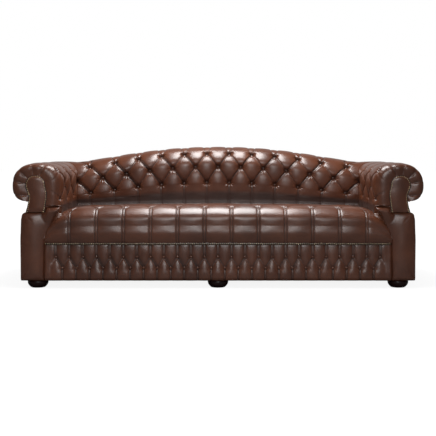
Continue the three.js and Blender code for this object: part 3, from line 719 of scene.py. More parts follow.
@dataclass(frozen=True)
class RollCover:
    """The cover of an arm or the back: diamonds on the face, pleats below and over the roll.

    Its methods take places across and down the lattice.
    """

    tufting: Tufting
    low_pleats: Pleats
    over_pleats: Pleats
    foot_row: float = 4.15
    foot_fade: float = 0.07
    spread_length: float = 0.06
    pucker: float = 0.002
    pucker_down: float = 0.017
    pucker_across: float = 0.013

    def seen(self, row: Array) -> Array:
        """1 on the cover, falling to 0 at its foot and on the timber."""
        return (1 - faded(row, self.foot_row, self.foot_fade)) * (row >= -1)

    def beyond(self, row: Array) -> Array:
        """The distance up from the top buttons, in metres, no more than that over which the pleats spread."""
        return np.clip(self.tufting.down(self.tufting.first) - self.tufting.down(row), 0, self.spread_length)

    def sink(self, column: Array, row: Array) -> Array:
        """How far the leather lies below its crown.

        Args:
            column: places across the lattice.
            row: places down the section.

        Returns:
            The depths.
        """
        face, low, over = self.tufting.shares(row, 0.3)
        above = self.over_pleats.sink(column, self.beyond(row)) * np.clip(1 + row, 0, 1)
        folds = self.tufting.folds(column, self.tufting.between(row))
        depth = folds * face + self.low_pleats.sink(column) * low + above * over
        return (depth + self.tufting.pits(column, row)) * self.seen(row)

    def lines(self, column: Array, row: Array) -> Array:
        """How deep the fine lines of the folds, pleats and wrinkles are.

        Args:
            column: places across the lattice.
            row: places down the section.

        Returns:
            The depths.
        """
        face, low, over = self.tufting.shares(row, 0.2)
        folds = self.tufting.line * self.tufting.tucks(column, self.tufting.between(row)) * face
        above = self.over_pleats.lines(column, self.beyond(row)) * np.clip(1.2 + row, 0, 1)
        depth = folds + self.low_pleats.lines(column) * low + above * over
        return (depth + self.tufting.wrinkles(column, row) - self.pucker * self.puckers(column, row)) * self.seen(row)

    def puckers(self, column: Array, row: Array) -> Array:
        """The small swellings beside the pleats, right under the lowest buttons, from 0 to 1."""
        down = self.tufting.down(row) - self.tufting.down(self.tufting.last) - self.pucker_down
        return bell(self.low_pleats.away(column) - self.pucker_across, 0.007) * bell(down, 0.008)

    def shade(self, column: Array, row: Array) -> Array:
        """How much painted shade the leather takes, from 0 to 1: in its folds, pleats and button pits, and darker
        towards its foot.

        Args:
            column: places across the lattice.
            row: places down the section.

        Returns:
            The shade values.
        """
        face, low, over = self.tufting.shares(row, 0.2)
        folds = 1.05 * self.tufting.tucks(column, self.tufting.between(row)) * face
        pleats = self.low_pleats.shade(column) * low + self.over_pleats.shade(column, self.beyond(row)) * over
        # Painted shade, darker towards the foot of the pad
        foot = 0.85 * faded(row, 3.5, 0.5)
        deepest = np.maximum(np.maximum(folds, self.tufting.pit_shade(column, row)), np.maximum(pleats, foot))
        return np.clip(deepest, 0, 1) * (row >= -1)

    def held(self, column: Array, row: Array) -> Array:
        """How firmly the cover is held at each point, from 0 to 1."""
        hidden = np.maximum(row < -0.97, faded(row, 4.0, 0.1))
        return np.clip(np.maximum(self.shade(column, row) * 1.1, hidden), 0, 1)


def corner_cut(reach: Array, along: Array, radius: float) -> Array:
    """How far a point of the roll is drawn in where it rounds a rear corner.

    Args:
        reach: the point's reach, outwards from the middle of the roll.
        along: its distance from the sharp corner.
        radius: the radius of the corner at the outer side.

    Returns:
        The distances.
    """
    own = radius * faded(reach, 0.0, 0.09) + 1e-6
    inner = np.clip(own - along, 0, own)
    return own - np.sqrt(own**2 - inner**2)


@dataclass(frozen=True, kw_only=True)
class RollPad:
    """What the buttoned back and arms share."""

    section: RollSection = RollSection()
    filling: Filling = Filling()
    rows: tuple[float, ...] = (-1.0, 0.0, 1.0, 2.0, 3.0, 4.0, 5.0)
    marks: tuple[float, ...] = (-0.40, 0.0, 0.060, 0.163, 0.254, 0.330, 0.520)
    swell: float = 0.0012
    swell_length: float = 0.16
    corner_radius: float = 0.07
    cover: RollCover

    @classmethod
    def covering(cls, pitch: float, button: float, crease: float, depths: tuple[float, float], seed: int) -> RollCover:
        """The cover for a lattice.

        Args:
            pitch: the width of a column.
            button: how deep the buttons sit.
            crease: how deep the folds are.
            depths: how deep the pleats are, below the buttons and over the roll.
            seed: picks the small differences between the diamonds.

        Returns:
            The cover.
        """
        return RollCover(
            Tufting(pitch, cls.rows, cls.marks, 1, 3, button, crease, seed=seed),
            Pleats(pitch, odd=True, depth=depths[0], band=0.004, line=0.0024),
            Pleats(pitch, odd=True, depth=depths[1], band=0.003, line=0.0030, flare=0.33))

    def surface(self, column: Array, row: Array, course: Course, sink: Array) -> Array:
        """Points of the cover.

        Args:
            column: columns.
            row: rows.
            course: the section at those rows.
            sink: how far each point is drawn in.

        Returns:
            The points, x, y and z last.
        """
        raise NotImplementedError

    def mitred(self, place: Array, start: Array | float, sharp: Array, own: Array, moved: Array, end: Array) -> Array:
        """Places along the pad, which spread and follow the other pad towards the mitre.

        Args:
            place: the places.
            start: where the last column would be.
            sharp: where the sharp mitre is.
            own: this pad's reach.
            moved: how far the other pad is drawn in.
            end: how near the mitre they are, from 0 to 1.

        Returns:
            The new places.
        """
        cut = corner_cut(own, np.zeros(()), self.corner_radius) * (1 - math.sqrt(0.5))
        return place + (sharp - start) * end**2 + moved * end**12 - cut * end**12

    def seated(self, column: Array, row: Array) -> Place:
        """Where a button sits and how it faces.

        Args:
            column: the button's column.
            row: its row.

        Returns:
            Its place.
        """
        course = self.section.course(row)
        inside = self.surface(column, row, course, self.cover.sink(column, row))[0]
        outside = self.surface(column, row, course, np.zeros(1))[0]
        return Place(inside, outside - inside)


@dataclass(frozen=True, kw_only=True)
class BackPad(RollPad):
    """The buttoned back with its humped roll, between the two mitres."""

    columns: int = 12
    pitch: float = 0.074615
    widening: float = 0.00023
    fan: float = 3.0
    cover: RollCover = RollPad.covering(0.0765, 0.034, 0.0088, (0.0035, 0.0050), 3)

    def column_x(self, column: Array) -> Array:
        """The place along the sofa of each column."""
        steps = np.abs(column)
        return np.sign(column) * (self.pitch * steps + self.widening * steps**2)

    def surface(self, column: Array, row: Array, course: Course, sink: Array) -> Array:
        """Points of the cover, with the arguments of every pad."""
        arm, back, z = course
        reach, height = drawn_in(back, z, sink)
        arm_reach, _ = drawn_in(arm, z, sink)
        end = np.clip((np.abs(column) - self.columns + self.fan) / self.fan, 0, 1)
        sharp = SIZES.roll_x + arm
        last = self.column_x(np.array(float(self.columns)))
        x = self.mitred(np.abs(self.column_x(column)), last, sharp, back, arm_reach - arm, end)
        y = SIZES.roll_y + reach - corner_cut(back, sharp - x, self.corner_radius)
        x = (x - MITRE_GAP * (end >= 1)) * np.sign(column)
        return np.stack([x, y, lifted(x, height)], axis=-1)

    def build(self) -> Object:
        """Makes the pad.

        Returns:
            The pad.
        """
        rows, course = self.section.whole()
        column, row, fine = lattices(lattice_places(-self.columns, self.columns), rows, -2.0)
        rings = self.surface(column, row, course, self.cover.sink(column, row))
        rings[..., 1] += self.swell * ripple(rings, self.swell_length, 1) * (row > -1) * (row < 4)
        held = np.maximum(self.cover.held(column, row), np.abs(column) >= self.columns)
        return self.filling.cover("back_cushion", rings, held, self.cover.shade(*fine), self.cover.lines(*fine))

    def buttons(self) -> list[Place]:
        """Where the buttons sit and how they face."""
        return [self.seated(*one) for one in button_places(range(1, 4), range(-self.columns + 1, self.columns))]


def square_to(path: Array) -> Array:
    """The direction square to a path at each of its points, to the left.

    Args:
        path: rows of two coordinates.

    Returns:
        The directions, of length 1.
    """
    along = np.gradient(path, axis=0)
    along /= np.linalg.norm(along, axis=1, keepdims=True)
    return np.stack([-along[:, 1], along[:, 0]], axis=-1)


@dataclass(frozen=True)
class Facing:
    """The keyhole outline of the arm's front, as reaches from the middle of the roll and heights."""

    head_reach: float = -0.0095
    head_z: float = 0.618
    head_radius: float = 0.060
    foot_z: float = 0.4579
    outer: Profile = (
        (0.4579, 0.046), (SIZES.neck_z, 0.0335), (0.554, 0.0295), (0.580, 0.0385), (0.600, 0.0475), (0.618, 0.0505))
    inner: Profile = (
        (0.4579, -0.064), (0.549, -0.0785), (0.575, -0.0790), (0.600, -0.0725), (0.618, -0.0695))

    def outer_at(self, z: Array) -> Array:
        """The reach of its outer edge at a height."""
        return np.interp(z, *zip(*self.outer))

    def inner_at(self, z: Array) -> Array:
        """The reach of its inner edge at a height."""
        return np.interp(z, *zip(*self.inner))

    def edge(self, reach: Array, z: Array) -> tuple[Array, Array]:
        """The edge of the facing beside a point of the roll.

        Args:
            reach: the point's reach.
            z: its height.

        Returns:
            The reach and the height of the edge.
        """
        away = np.maximum(np.hypot(reach - self.head_reach, z - self.head_z), 1e-6)
        share = self.head_radius / away
        high_reach = self.head_reach + (reach - self.head_reach) * share
        high_z = self.head_z + (z - self.head_z) * share
        low_reach = np.where(reach > self.head_reach, self.outer_at(z), self.inner_at(z))
        above = z >= self.head_z
        return np.where(above, high_reach, low_reach), np.where(above, high_z, z)

    def outline(self, inset: float) -> Array:
        """The outline from the foot of the outer edge round the head to the foot of the inner edge.

        Args:
            inset: how far it is drawn in.

        Returns:
            Rows of reach and height.
        """
        low = np.linspace(self.foot_z, self.head_z, 24, endpoint=False)
        turn = np.linspace(0, math.pi, 36)
        head = (self.head_reach + self.head_radius * np.cos(turn), self.head_z + self.head_radius * np.sin(turn))
        sides = (self.outer_at(low), low), head, (self.inner_at(low)[::-1], low[::-1])
        points = np.concatenate([np.stack(side, axis=-1) for side in sides])
        return points + inset * square_to(points)


FACING = Facing()


@dataclass(frozen=True, kw_only=True)
class ArmPad(RollPad):
    """The buttoned arm with its roll, from the rear mitre over its shoulder to the edge of its facing."""

    side: Side
    columns: int = 5
    pitch: float = 0.114
    corner_y: float = 0.172
    fan: float = 1.6
    shoulder_depth: float = 0.055
    shoulder_steps: int = 14
    inner_fullness: float = 2.0
    outer_fullness: float = 4.2
    bulge: float = 0.010
    timber_y: float = -0.4490
    foot_y: float = -0.453
    foot_slope: float = 0.0285
    foot_row: float = 3.86
    foot_fade: float = 0.12
    ring_pleats: tuple[float, ...] = (115.0, 81.0, 43.0, 11.0, -24.0, -58.0)
    ring_depth: float = 0.007
    ring_width: float = 0.012
    ring_line: float = 0.0045
    ring_line_width: float = 0.0032
    cover: RollCover = RollPad.covering(0.114, 0.036, 0.009, (0.005, 0.006), 8)

    def surface(self, column: Array, row: Array, course: Course, sink: Array) -> Array:
        """Points of the cover, with the arguments of every pad. Columns past the last round the shoulder."""
        arm, back, z = course
        reach, height = drawn_in(arm, z, sink)
        back_reach, _ = drawn_in(back, z, sink)
        end = np.clip(1 - column / self.fan, 0, 1)
        sharp = SIZES.roll_y + back
        place = self.corner_y - self.pitch * np.minimum(column, self.columns)
        y = self.mitred(place, self.corner_y, sharp, arm, back_reach - back, end)
        x = reach - corner_cut(arm, sharp - y, self.corner_radius)
        turn = self.past(column) * QUARTER
        lower = faded(row, self.foot_row, self.foot_fade)
        power = 2 / np.interp(arm, [-0.12, 0.02], [self.inner_fullness, self.outer_fullness])
        share = (1 - np.cos(turn) ** power) * (1 - lower) * (row >= -1)
        edge_reach, edge_z = FACING.edge(arm, z)
        front = y - self.shoulder_depth * np.sin(turn) ** power - self.bulge * np.sin(math.pi * share**0.6)
        foot = np.where(lower > 0, self.foot_y + self.foot_slope * lower, -1.0)
        y = np.maximum(front, np.where(row < -1, self.timber_y, foot))
        x = x + (edge_reach - x) * share
        height = height + (edge_z - height) * share
        return np.stack([self.side.value * (SIZES.roll_x + x), y, height], axis=-1)

    def past(self, column: Array) -> Array:
        """How far round the shoulder a column lies, from 0 to 1."""
        return np.clip(column - self.columns, 0, 1)

    def metric(self, column: Array) -> Array:
        """The columns as the lattice has them, also round the shoulder, where the drawn columns are narrower."""
        past = np.clip(column - self.columns, 0, 0.9)
        return np.minimum(column, self.columns) + past * self.shoulder_depth * math.pi / 2 / self.pitch

    def rays(self, column: Array, row: Array, arm: Array, z: Array, width: float) -> Array:
        """The pleats that run in to the facing.

        Args:
            column: columns.
            row: rows.
            arm: the arm's reach at those rows.
            z: the heights at those rows.
            width: how wide each side of a pleat is.

        Returns:
            How strongly a pleat runs there, from 0 to 1.
        """
        past = self.past(column)
        across, up = arm - FACING.head_reach, z - FACING.head_z
        turn, radius = np.degrees(np.arctan2(up, across)), np.hypot(across, up)
        away = np.ones(np.broadcast(turn, column).shape)
        for pleat in self.ring_pleats:
            away = np.minimum(away, np.radians(np.abs(turn - pleat)) * radius)
        edge = 1 - faded(past, 0.93, 0.07)
        return bell(away, width, 1.3) * past**0.7 * edge * (row < 3.9) * (row >= -1)

    def build(self) -> Object:
        """Makes the pad.

        Returns:
            The pad.
        """
        rows, course = self.section.whole()
        shoulder = self.columns + np.linspace(0, 1, self.shoulder_steps + 1)[1:]
        column, row, fine = lattices(np.concatenate([lattice_places(0, self.columns), shoulder]), rows, -2.0)
        past = self.past(column)
        sink = self.cover.sink(self.metric(column), row) * (1 - past) ** 0.8
        drawn = self.ring_depth * self.rays(column, row, course.arm, course.z, self.ring_width)
        rings = self.surface(column, row, course, sink + drawn * np.cos(past * QUARTER))
        rings[..., 1] += drawn * np.sin(past * QUARTER)
        swell = ripple(rings, self.swell_length, 2 + self.side.value)
        rings[..., 0] += self.swell * swell * (row > -1) * (row < 4) * (past < 1)
        held = np.maximum(self.cover.held(self.metric(column), row), (past >= 1) | (column <= 0))
        metric, flat = self.metric(fine[0]), 1 - self.past(fine[0])
        own = self.rays(*fine, doubled(course.arm, True), doubled(course.z, True), self.ring_line_width)
        lines = self.cover.lines(metric, fine[1]) * flat + self.ring_line * own
        # Painted shade in the folds, and along the pleats that run in to the facing
        shade = np.maximum(self.cover.shade(metric, fine[1]) * flat, self.ring_line * own / 0.0055)
        return self.filling.cover(f"{self.side.word}_arm_cushion", rings, held, shade, lines)

    def buttons(self) -> list[Place]:
        """Where the buttons sit and how they face."""
        return [self.seated(*one) for one in button_places(range(1, 4), range(0, self.columns + 1))]


@dataclass(frozen=True)
class SeatPad:
    """The buttoned seat, with double pleats down its front and crowned ends."""

    columns: int = 11
    pitch: float = 0.08095
    flat_columns: float = 11.56
    last_row: float = 6.5
    foot_z: float = 0.2703
    crest_z: float = 0.4975
    face_y: float = -0.464
    rear_y: float = 0.1004
    fall: float = 0.022
    sag: float = 0.045
    top_row: float = 0.97
    top_fade: float = 0.08
    heights: tuple[float, ...] = (0.2703, 0.285, 0.300, 0.315, 0.330, 0.345, 0.358, 0.370, 0.385, 0.4045,
                                  0.425, 0.438, 0.450, 0.460, 0.4695, 0.480, 0.488, 0.494, 0.4975)
    tilts: tuple[float, ...] = (-32, -20, -11, -5, 0, 9, 15, 12, 1, 0, 13, 27, 38, 46, 53, 61, 69, 78, 85)
    front_steps: int = 150
    low_steps: int = 90
    top_steps: int = 60
    first_drop: float = 0.007
    round_from: float = 0.790
    round_power: float = 2.3
    swell: float = 0.0012
    top_swell: float = 0.0015
    filling: Filling = Filling(limit=0.010)
    tufting: Tufting = Tufting(0.08095, (0.0, 1.0, 6.5), (-0.27, 0.0, 0.4900), 1, 6, 0.020, 0.008, spread=0.012, seed=5)
    pleats: Pleats = Pleats(0.08095, odd=True, depth=0.0028, band=0.0075, line=0.0026)

    def curve(self) -> tuple[Array, Array, Array]:
        """The seat's upper line, from the foot of its front to its rear.

        Returns:
            Places along it from the first row of buttons, depths and heights.
        """
        z = np.linspace(self.foot_z, self.crest_z, self.front_steps)
        slope = np.tan(np.radians(np.interp(z, self.heights, self.tilts)))
        run = np.concatenate([[0], np.cumsum((slope[1:] + slope[:-1]) / 2 * np.diff(z))])
        y = self.face_y + run - run[:self.low_steps].min()
        top_y = np.linspace(y[-1], self.rear_y, self.top_steps)[1:]
        top_z = self.crest_z - self.fall * (top_y - y[-1]) / (self.rear_y - y[-1])
        y, z = np.concatenate([y, top_y]), np.concatenate([z, top_z])
        along = np.concatenate([[0], np.cumsum(np.hypot(np.diff(y), np.diff(z)))])
        first = np.interp(self.crest_z - self.first_drop, z[:self.front_steps], along[:self.front_steps])
        return along - first, y, z

    def at(self, row: Array) -> tuple[Array, Array, Array, Array]:
        """The seat's upper line at some rows.

        Args:
            row: rows, 0 at the foot of the front and 1 at the first buttons.

        Returns:
            The depth, the height and the outward direction, in depth and height.
        """
        along, y, z = self.curve()
        place = np.where(row < 1, along[0] * (1 - row), (row - 1) * along[-1] / (self.last_row - 1))
        step = 0.004
        rise = np.interp(place + step, along, z) - np.interp(place - step, along, z)
        run = np.interp(place + step, along, y) - np.interp(place - step, along, y)
        length = np.maximum(np.hypot(rise, run), 1e-9)
        return np.interp(place, along, y), np.interp(place, along, z), -rise / length, run / length

    def section(self) -> tuple[Array, ...]:
        """The rows, depths, heights and outward directions of the seat's section. Rows under 0 are its underside.

        Returns:
            One value of each kind for every point of the section.
        """
        rows = np.concatenate([np.linspace(0, 1, 44)[:-1], lattice_places(1, self.last_row)])
        y, z, out_y, out_z = self.at(rows)
        under_z = np.linspace(self.crest_z - self.fall, self.foot_z, 8)[1:]
        under_y = np.linspace(self.rear_y, y[0], 14)[1:-1]
        none = np.zeros(len(under_z) + len(under_y))
        y = np.concatenate([y, np.full(len(under_z), self.rear_y), under_y])
        z = np.concatenate([z, under_z, np.full(len(under_y), self.foot_z)])
        return np.concatenate([rows, none - 1]), y, z, np.concatenate([out_y, none]), np.concatenate([out_z, none])

    def inside(self, column: Array, row: Array) -> Array:
        """1 where the seat is buttoned, falling to 0 at its ends and its rear."""
        return (row >= 0) * (1 - faded(row, 6.2, 0.25)) * (1 - faded(np.abs(column), self.columns + 0.2, 0.5))

    def sink(self, column: Array, row: Array) -> Array:
        """How far the leather lies below its crown.

        Args:
            column: places across the lattice.
            row: places down the lattice.

        Returns:
            The depths.
        """
        top = faded(row, self.top_row, self.top_fade)
        folds = self.tufting.folds(column, np.maximum(row, 1))
        depth = folds * top + self.pleats.sink(column) * (1 - top) + self.tufting.pits(column, row)
        return depth * self.inside(column, row)

    def lines(self, column: Array, row: Array) -> Array:
        """How deep the fine lines of the folds, pleats and wrinkles are.

        Args:
            column: places across the lattice.
            row: places down the lattice.

        Returns:
            The depths.
        """
        top = faded(row, self.top_row, self.top_fade)
        folds = self.tufting.line * self.tufting.tucks(column, np.maximum(row, 1)) + self.tufting.wrinkles(column, row)
        return (folds * top + self.pleats.lines(column) * (1 - top)) * self.inside(column, row)

    def shade(self, column: Array, row: Array) -> Array:
        """How much painted shade the leather takes in a fold, pleat or button pit, from 0 to 1."""
        face = np.where(row >= 1, self.tufting.shade(column, np.maximum(row, 1)), self.pleats.shade(column))
        return face * self.inside(column, row)

    def surface(self, column: Array, row: Array, at: Sequence[Array]) -> Array:
        """Points of the cover, whose top falls away in a curve towards both ends.

        Args:
            column: columns, past the last on the rounded ends.
            row: rows.
            at: the depths, heights and outward directions at those rows.

        Returns:
            The points, x, y and z last.
        """
        y, z, out_y, out_z = at
        flat = np.clip(np.abs(column), 0, self.flat_columns)
        around = np.clip(np.abs(column) - flat, 0, QUARTER)
        end = SIZES.seat_reach - MITRE_GAP
        reach = flat * self.pitch + (end - self.flat_columns * self.pitch) * np.sin(around)
        share = np.clip((reach - self.round_from) / (end - self.round_from), 0, 1)
        fall = np.maximum((1 - share**self.round_power) ** (1 / self.round_power), 0.04)
        fall = fall * (1 - self.sag * np.minimum(reach / self.round_from, 1) ** 2)
        foot_y, first_y = self.curve()[1][0], float(self.at(np.array([1.0]))[0][0])
        back = np.clip((y - first_y) / (self.rear_y - first_y), 0, 1)
        shift = (np.minimum(y, first_y) - foot_y) * (1 - np.sqrt(fall)) * (1 - back) * (row >= 0)
        base = self.foot_z + 0.009
        height = np.where(z < base, z, base + (z - base) * fall)
        sink = self.sink(column, row)
        return np.stack([np.sign(column) * reach, y - shift - sink * out_y, height - sink * out_z], axis=-1)

    def build(self) -> Object:
        """Makes the seat.

        Returns:
            The seat.
        """
        rows, *at = self.section()
        middle = lattice_places(-self.columns, self.columns)
        beside = self.columns + np.array([0.12, 0.25, 0.4])
        ends = np.concatenate([beside, self.flat_columns + np.linspace(0, QUARTER, 17)])
        column, row, fine = lattices(np.concatenate([-ends[::-1], middle, ends]), rows, -1.0)
        rings = self.surface(column, row, at)
        swell = ripple(rings, 0.22, 6)
        rings[..., 2] += self.top_swell * swell * (row > 0.7)
        rings[..., 1] += self.swell * swell * ((row >= 0) & (row < 1))
        hidden = (row < 0) | (np.abs(column) > self.columns + 0.4) | (at[1] < self.foot_z + 0.004)
        held = np.clip(np.maximum(self.shade(column, row) * 1.1, hidden), 0, 1)
        return self.filling.cover("seat_cushion", rings, held, self.shade(*fine), self.lines(*fine))

    def buttons(self) -> list[Place]:
        """Where the buttons sit and how they face.

        Returns:
            One place for each button.
        """
        places = []
        for column, row in button_places(range(1, 7), range(-self.columns, self.columns + 1)):
            at = self.at(row)
            places.append(Place(self.surface(column, row, at)[0], (0.0, at[2][0], at[3][0])))
        return places


@dataclass(frozen=True)
class FrontBorder:
    """The buttoned border under the seat, with pleats above and below its two rows of buttons."""

    columns: int = 24
    pitch: float = 0.040475
    reach: float = 1.0387
    back_y: float = -0.4332
    back_row: float = 9.0
    low_z: float = SIZES.underside - 0.002
    heights: tuple[float, ...] = (SIZES.border_top - 0.003, 0.189, 0.124, low_z)
    profile: Profile = (
        (0.045, -0.4620), (0.060, -0.4685), (0.095, -0.4675), (0.160, -0.4595), (0.215, -0.4565), (0.245, -0.4540),
        (0.270, -0.4545))
    edge_tuck: float = 0.007
    rim: float = 0.006
    swell: float = 0.0007
    filling: Filling = Filling(limit=0.004)
    tufting: Tufting = Tufting(0.040475, (-1.0, 0.0, 1.0, 2.0), (-0.080, 0.0, 0.065, 0.140), 0, 1, 0.0135, 0.0065,
                               spread=0.011, wrinkle=0.0004, line=0.0016, seed=12)
    above: Pleats = Pleats(0.040475, odd=False, depth=0.0050, band=0.0052, line=0.0022)
    below: Pleats = Pleats(0.040475, odd=True, depth=0.0085, band=0.0035, line=0.003)

    def height(self, row: Array) -> Array:
        """The height of each row."""
        return np.interp(row, [-1, 0, 1, 2], self.heights)

    def face(self, z: Array) -> Array:
        """The depth of the crowned leather at a height."""
        return np.interp(z, *zip(*self.profile))

    def inside(self, column: Array) -> Array:
        """1 where the border is buttoned, falling to 0 at its ends."""
        return 1 - faded(np.abs(column), self.columns + 0.05, 0.9)

    def sink(self, column: Array, row: Array) -> Array:
        """How far the leather lies below its crown.

        Args:
            column: places across the lattice.
            row: places down the lattice.

        Returns:
            The depths.
        """
        face, down, up = self.tufting.shares(row, 0.30)
        depth = self.tufting.folds(column, self.tufting.between(row)) * face
        depth = depth + self.above.sink(column) * up + self.below.sink(column) * down
        return depth + self.tufting.pits(column, row)

    def lines(self, column: Array, row: Array) -> Array:
        """How deep the fine lines of the folds, pleats and wrinkles are.

        Args:
            column: places across the lattice.
            row: places down the lattice.

        Returns:
            The depths.
        """
        face, down, up = self.tufting.shares(row, 0.15)
        folds = self.tufting.line * self.tufting.tucks(column, self.tufting.between(row)) * face
        depth = folds + self.above.lines(column) * up + self.below.lines(column) * down
        return (depth + self.tufting.wrinkles(column, row)) * ((row < self.back_row) * self.inside(column))

    def shade(self, column: Array, row: Array) -> Array:
        """How much painted shade the leather takes in a fold, pleat or button pit, from 0 to 1.

        Args:
            column: places across the lattice.
            row: places down the lattice.

        Returns:
            The shade values.
        """
        pleats = np.where(row < 0, self.above.shade(column), self.below.shade(column))
        face = np.where((row < 0) | (row > 1), pleats, self.tufting.shade(column, self.tufting.between(row)))
        beside = bell(self.tufting.from_button(column, row)[0], self.tufting.spread)
        return np.maximum(face, beside) * ((row < self.back_row) * self.inside(column))

    def build(self) -> Object:
        """Makes the border.

        Returns:
            The border.
        """
        steps = STEPS[::2]
        face = lattice_places(0, 1, steps)
        rows = np.concatenate([np.linspace(-1, 0, 11)[:-1], face, np.linspace(1, 2, 11)[1:]])
        z = self.height(rows)
        y = self.face(z) + self.edge_tuck * (np.abs(np.clip((rows - 0.5) / 1.5, -1, 1)) ** 12)
        back_z = np.linspace(self.low_z, SIZES.border_top, 9)
        rows = np.concatenate([rows, np.full(len(back_z), self.back_row)])
        z, y = np.concatenate([z, back_z]), np.concatenate([y, np.full(len(back_z), self.back_y)])
        last = self.reach / self.pitch
        ends = self.columns + np.linspace(0.15, 1, 7) * (last - self.columns)
        middle = lattice_places(-self.columns, self.columns, steps)
        column, row, fine = lattices(np.concatenate([-ends[::-1], middle, ends]), rows, self.back_row)
        front, inside = row < self.back_row, self.inside(column)
        sink = np.where(front, self.sink(column, np.where(front, row, 0)), 0) * inside
        rim = faded(np.abs(column), last - 0.25, 0.25) * self.rim
        depth = np.where(front, y + sink + rim, y)
        rings = np.stack([column * self.pitch, depth, np.broadcast_to(z, depth.shape)], axis=-1)
        rings[..., 1] += self.swell * ripple(rings, 0.10, 15) * front
        held = np.clip(np.maximum(self.shade(column, row), ~front | (inside < 0.5)), 0, 1)
        return self.filling.cover("front_border_cover", rings, held, self.shade(*fine), self.lines(*fine))

    def buttons(self) -> list[Place]:
        """Where the buttons sit and how they face.

        Returns:
            One place for each button.
        """
        places = []
        for column, row in button_places(range(0, 2), range(-self.columns, self.columns + 1)):
            z = self.height(row)
            y = self.face(z) + self.sink(column, row) - 0.003
            places.append(Place((column[0] * self.pitch, y[0], z[0]), (0.0, -1.0, 0.12)))
        return places


def plain(made: Object) -> Object:
    """An object with its modifiers applied and removed.

    Args:
        made: the object.

    Returns:
        The same object, with a mesh of its own.
    """
    graph = bpy.context.evaluated_depsgraph_get()
    mesh = bpy.data.meshes.new_from_object(made.evaluated_get(graph), depsgraph=graph)
    old, made.data = made.data, mesh
    made.modifiers.clear()
    mesh.name = made.name
    bpy.data.meshes.remove(old)
    dressable(mesh)
    return made


@dataclass(frozen=True)
class ArmBlock:
    """The soft block that fronts the arm below its facing."""

    side: Side
    voxel: float = 0.005
    smoothing: int = 8
    bow: float = 3.2
    limit: float = 0.014
    lean: float = 0.07
    crown_reach: float = 0.028
    proud: float = 0.0035
    back_y: float = SIZES.front_y + SIZES.block_depth
    filling: Filling = Filling(pressure=3.0, limit=0.004)

    def build(self) -> Object:
        """Makes the block from an even mesh of the solid's form, crowned and swollen.

        Returns:
            The block.
        """
        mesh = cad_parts[f"{self.side.word}_arm_block"].data.copy()
        made = linked(f"{self.side.word}_block_cover", mesh)
        shell = bmesh.new()
        shell.from_mesh(mesh)
        bmesh.ops.remove_doubles(shell, verts=shell.verts, dist=1e-5)
        shell.to_mesh(mesh)
        shell.free()
        even = made.modifiers.new("even", "REMESH")
        even.mode, even.voxel_size, even.use_smooth_shade = "VOXEL", self.voxel, True
        soft = made.modifiers.new("soft", "SMOOTH")
        soft.iterations, soft.factor = self.smoothing, 0.5
        plain(made)
        move_vertices(made, self.crowned(vertices_of(made.data)))
        held = vertices_of(made.data)[:, 1] > SIZES.front_y + 0.024
        self.filling.swell(made, held.astype(float))
        places = vertices_of(made.data)
        places[:, 1] = np.minimum(places[:, 1], self.back_y)
        move_vertices(made, places)
        return made

    def crowned(self, places: Array) -> Array:
        """The front of the block, rounded across its width, with the fold that runs up beside the seat.

        Args:
            places: its vertices.

        Returns:
            Their new places.
        """
        x, y, z = places.T
        reach = x * self.side.value - SIZES.roll_x
        share = np.clip((self.back_y - y) / SIZES.block_depth, 0, 1)
        bow = self.limit * (1 - np.exp(-self.bow * (reach - self.crown_reach) ** 2 / self.limit))
        lean = self.lean * np.maximum(z - 0.12, 0) ** 2
        fold = (1 - faded(reach, -0.075, 0.035)) * faded(z, 0.37, 0.09)
        y = y + share * (bow + lean) * (1 - fold)
        x = x + self.side.value * self.proud * np.clip(reach / 0.08, -1, 1)
        z = z - 0.004 * np.clip((0.11 - z) / 0.05, 0, 1)
        return np.stack([x, y, z], axis=-1)


@dataclass(frozen=True)
class FacingPanel:
    """The keyhole panel on the front of the arm, a little padded."""

    side: Side
    back_y: float = -0.4503
    edge_y: float = -0.4548
    crown: float = 0.0088
    across: int = 29
    margin: float = 0.03

    def build(self) -> Object:
        """Makes the panel, from its foot to the top of its head.

        Returns:
            The panel.
        """
        top = FACING.head_radius * np.sin(np.linspace(0, QUARTER, 22)) * 0.9995
        low = np.linspace(FACING.foot_z, FACING.head_z, 46, endpoint=False)
        heights = np.concatenate([low, FACING.head_z + top])
        half_head = np.sqrt(np.maximum(FACING.head_radius**2 - (heights - FACING.head_z) ** 2, 0))
        above = heights > FACING.head_z
        outer = np.where(above, FACING.head_reach + half_head, FACING.outer_at(heights))
        inner = np.where(above, FACING.head_reach - half_head, FACING.inner_at(heights))
        share = np.sin(np.linspace(-QUARTER, QUARTER, self.across))
        reach = (outer + inner)[:, None] / 2 + (outer - inner)[:, None] / 2 * share
        z = np.broadcast_to(heights[:, None], reach.shape)
        foot = np.clip((z - FACING.foot_z) / self.margin, 0, 1)
        head = np.clip((FACING.head_z + FACING.head_radius - z) / self.margin, 0, 1)
        swell = (1 - share**2) * np.sin(foot * QUARTER) * np.sin(head * QUARTER)
        x = self.side.value * (SIZES.roll_x + reach)
        face = np.stack([x, self.edge_y - self.crown * swell, z], axis=-1)
        back = np.stack([x, np.full_like(x, self.back_y), z], axis=-1)[:, ::-1]
        return strip(f"{self.side.word}_facing_cover", refined(np.concatenate([face, back], axis=1)))


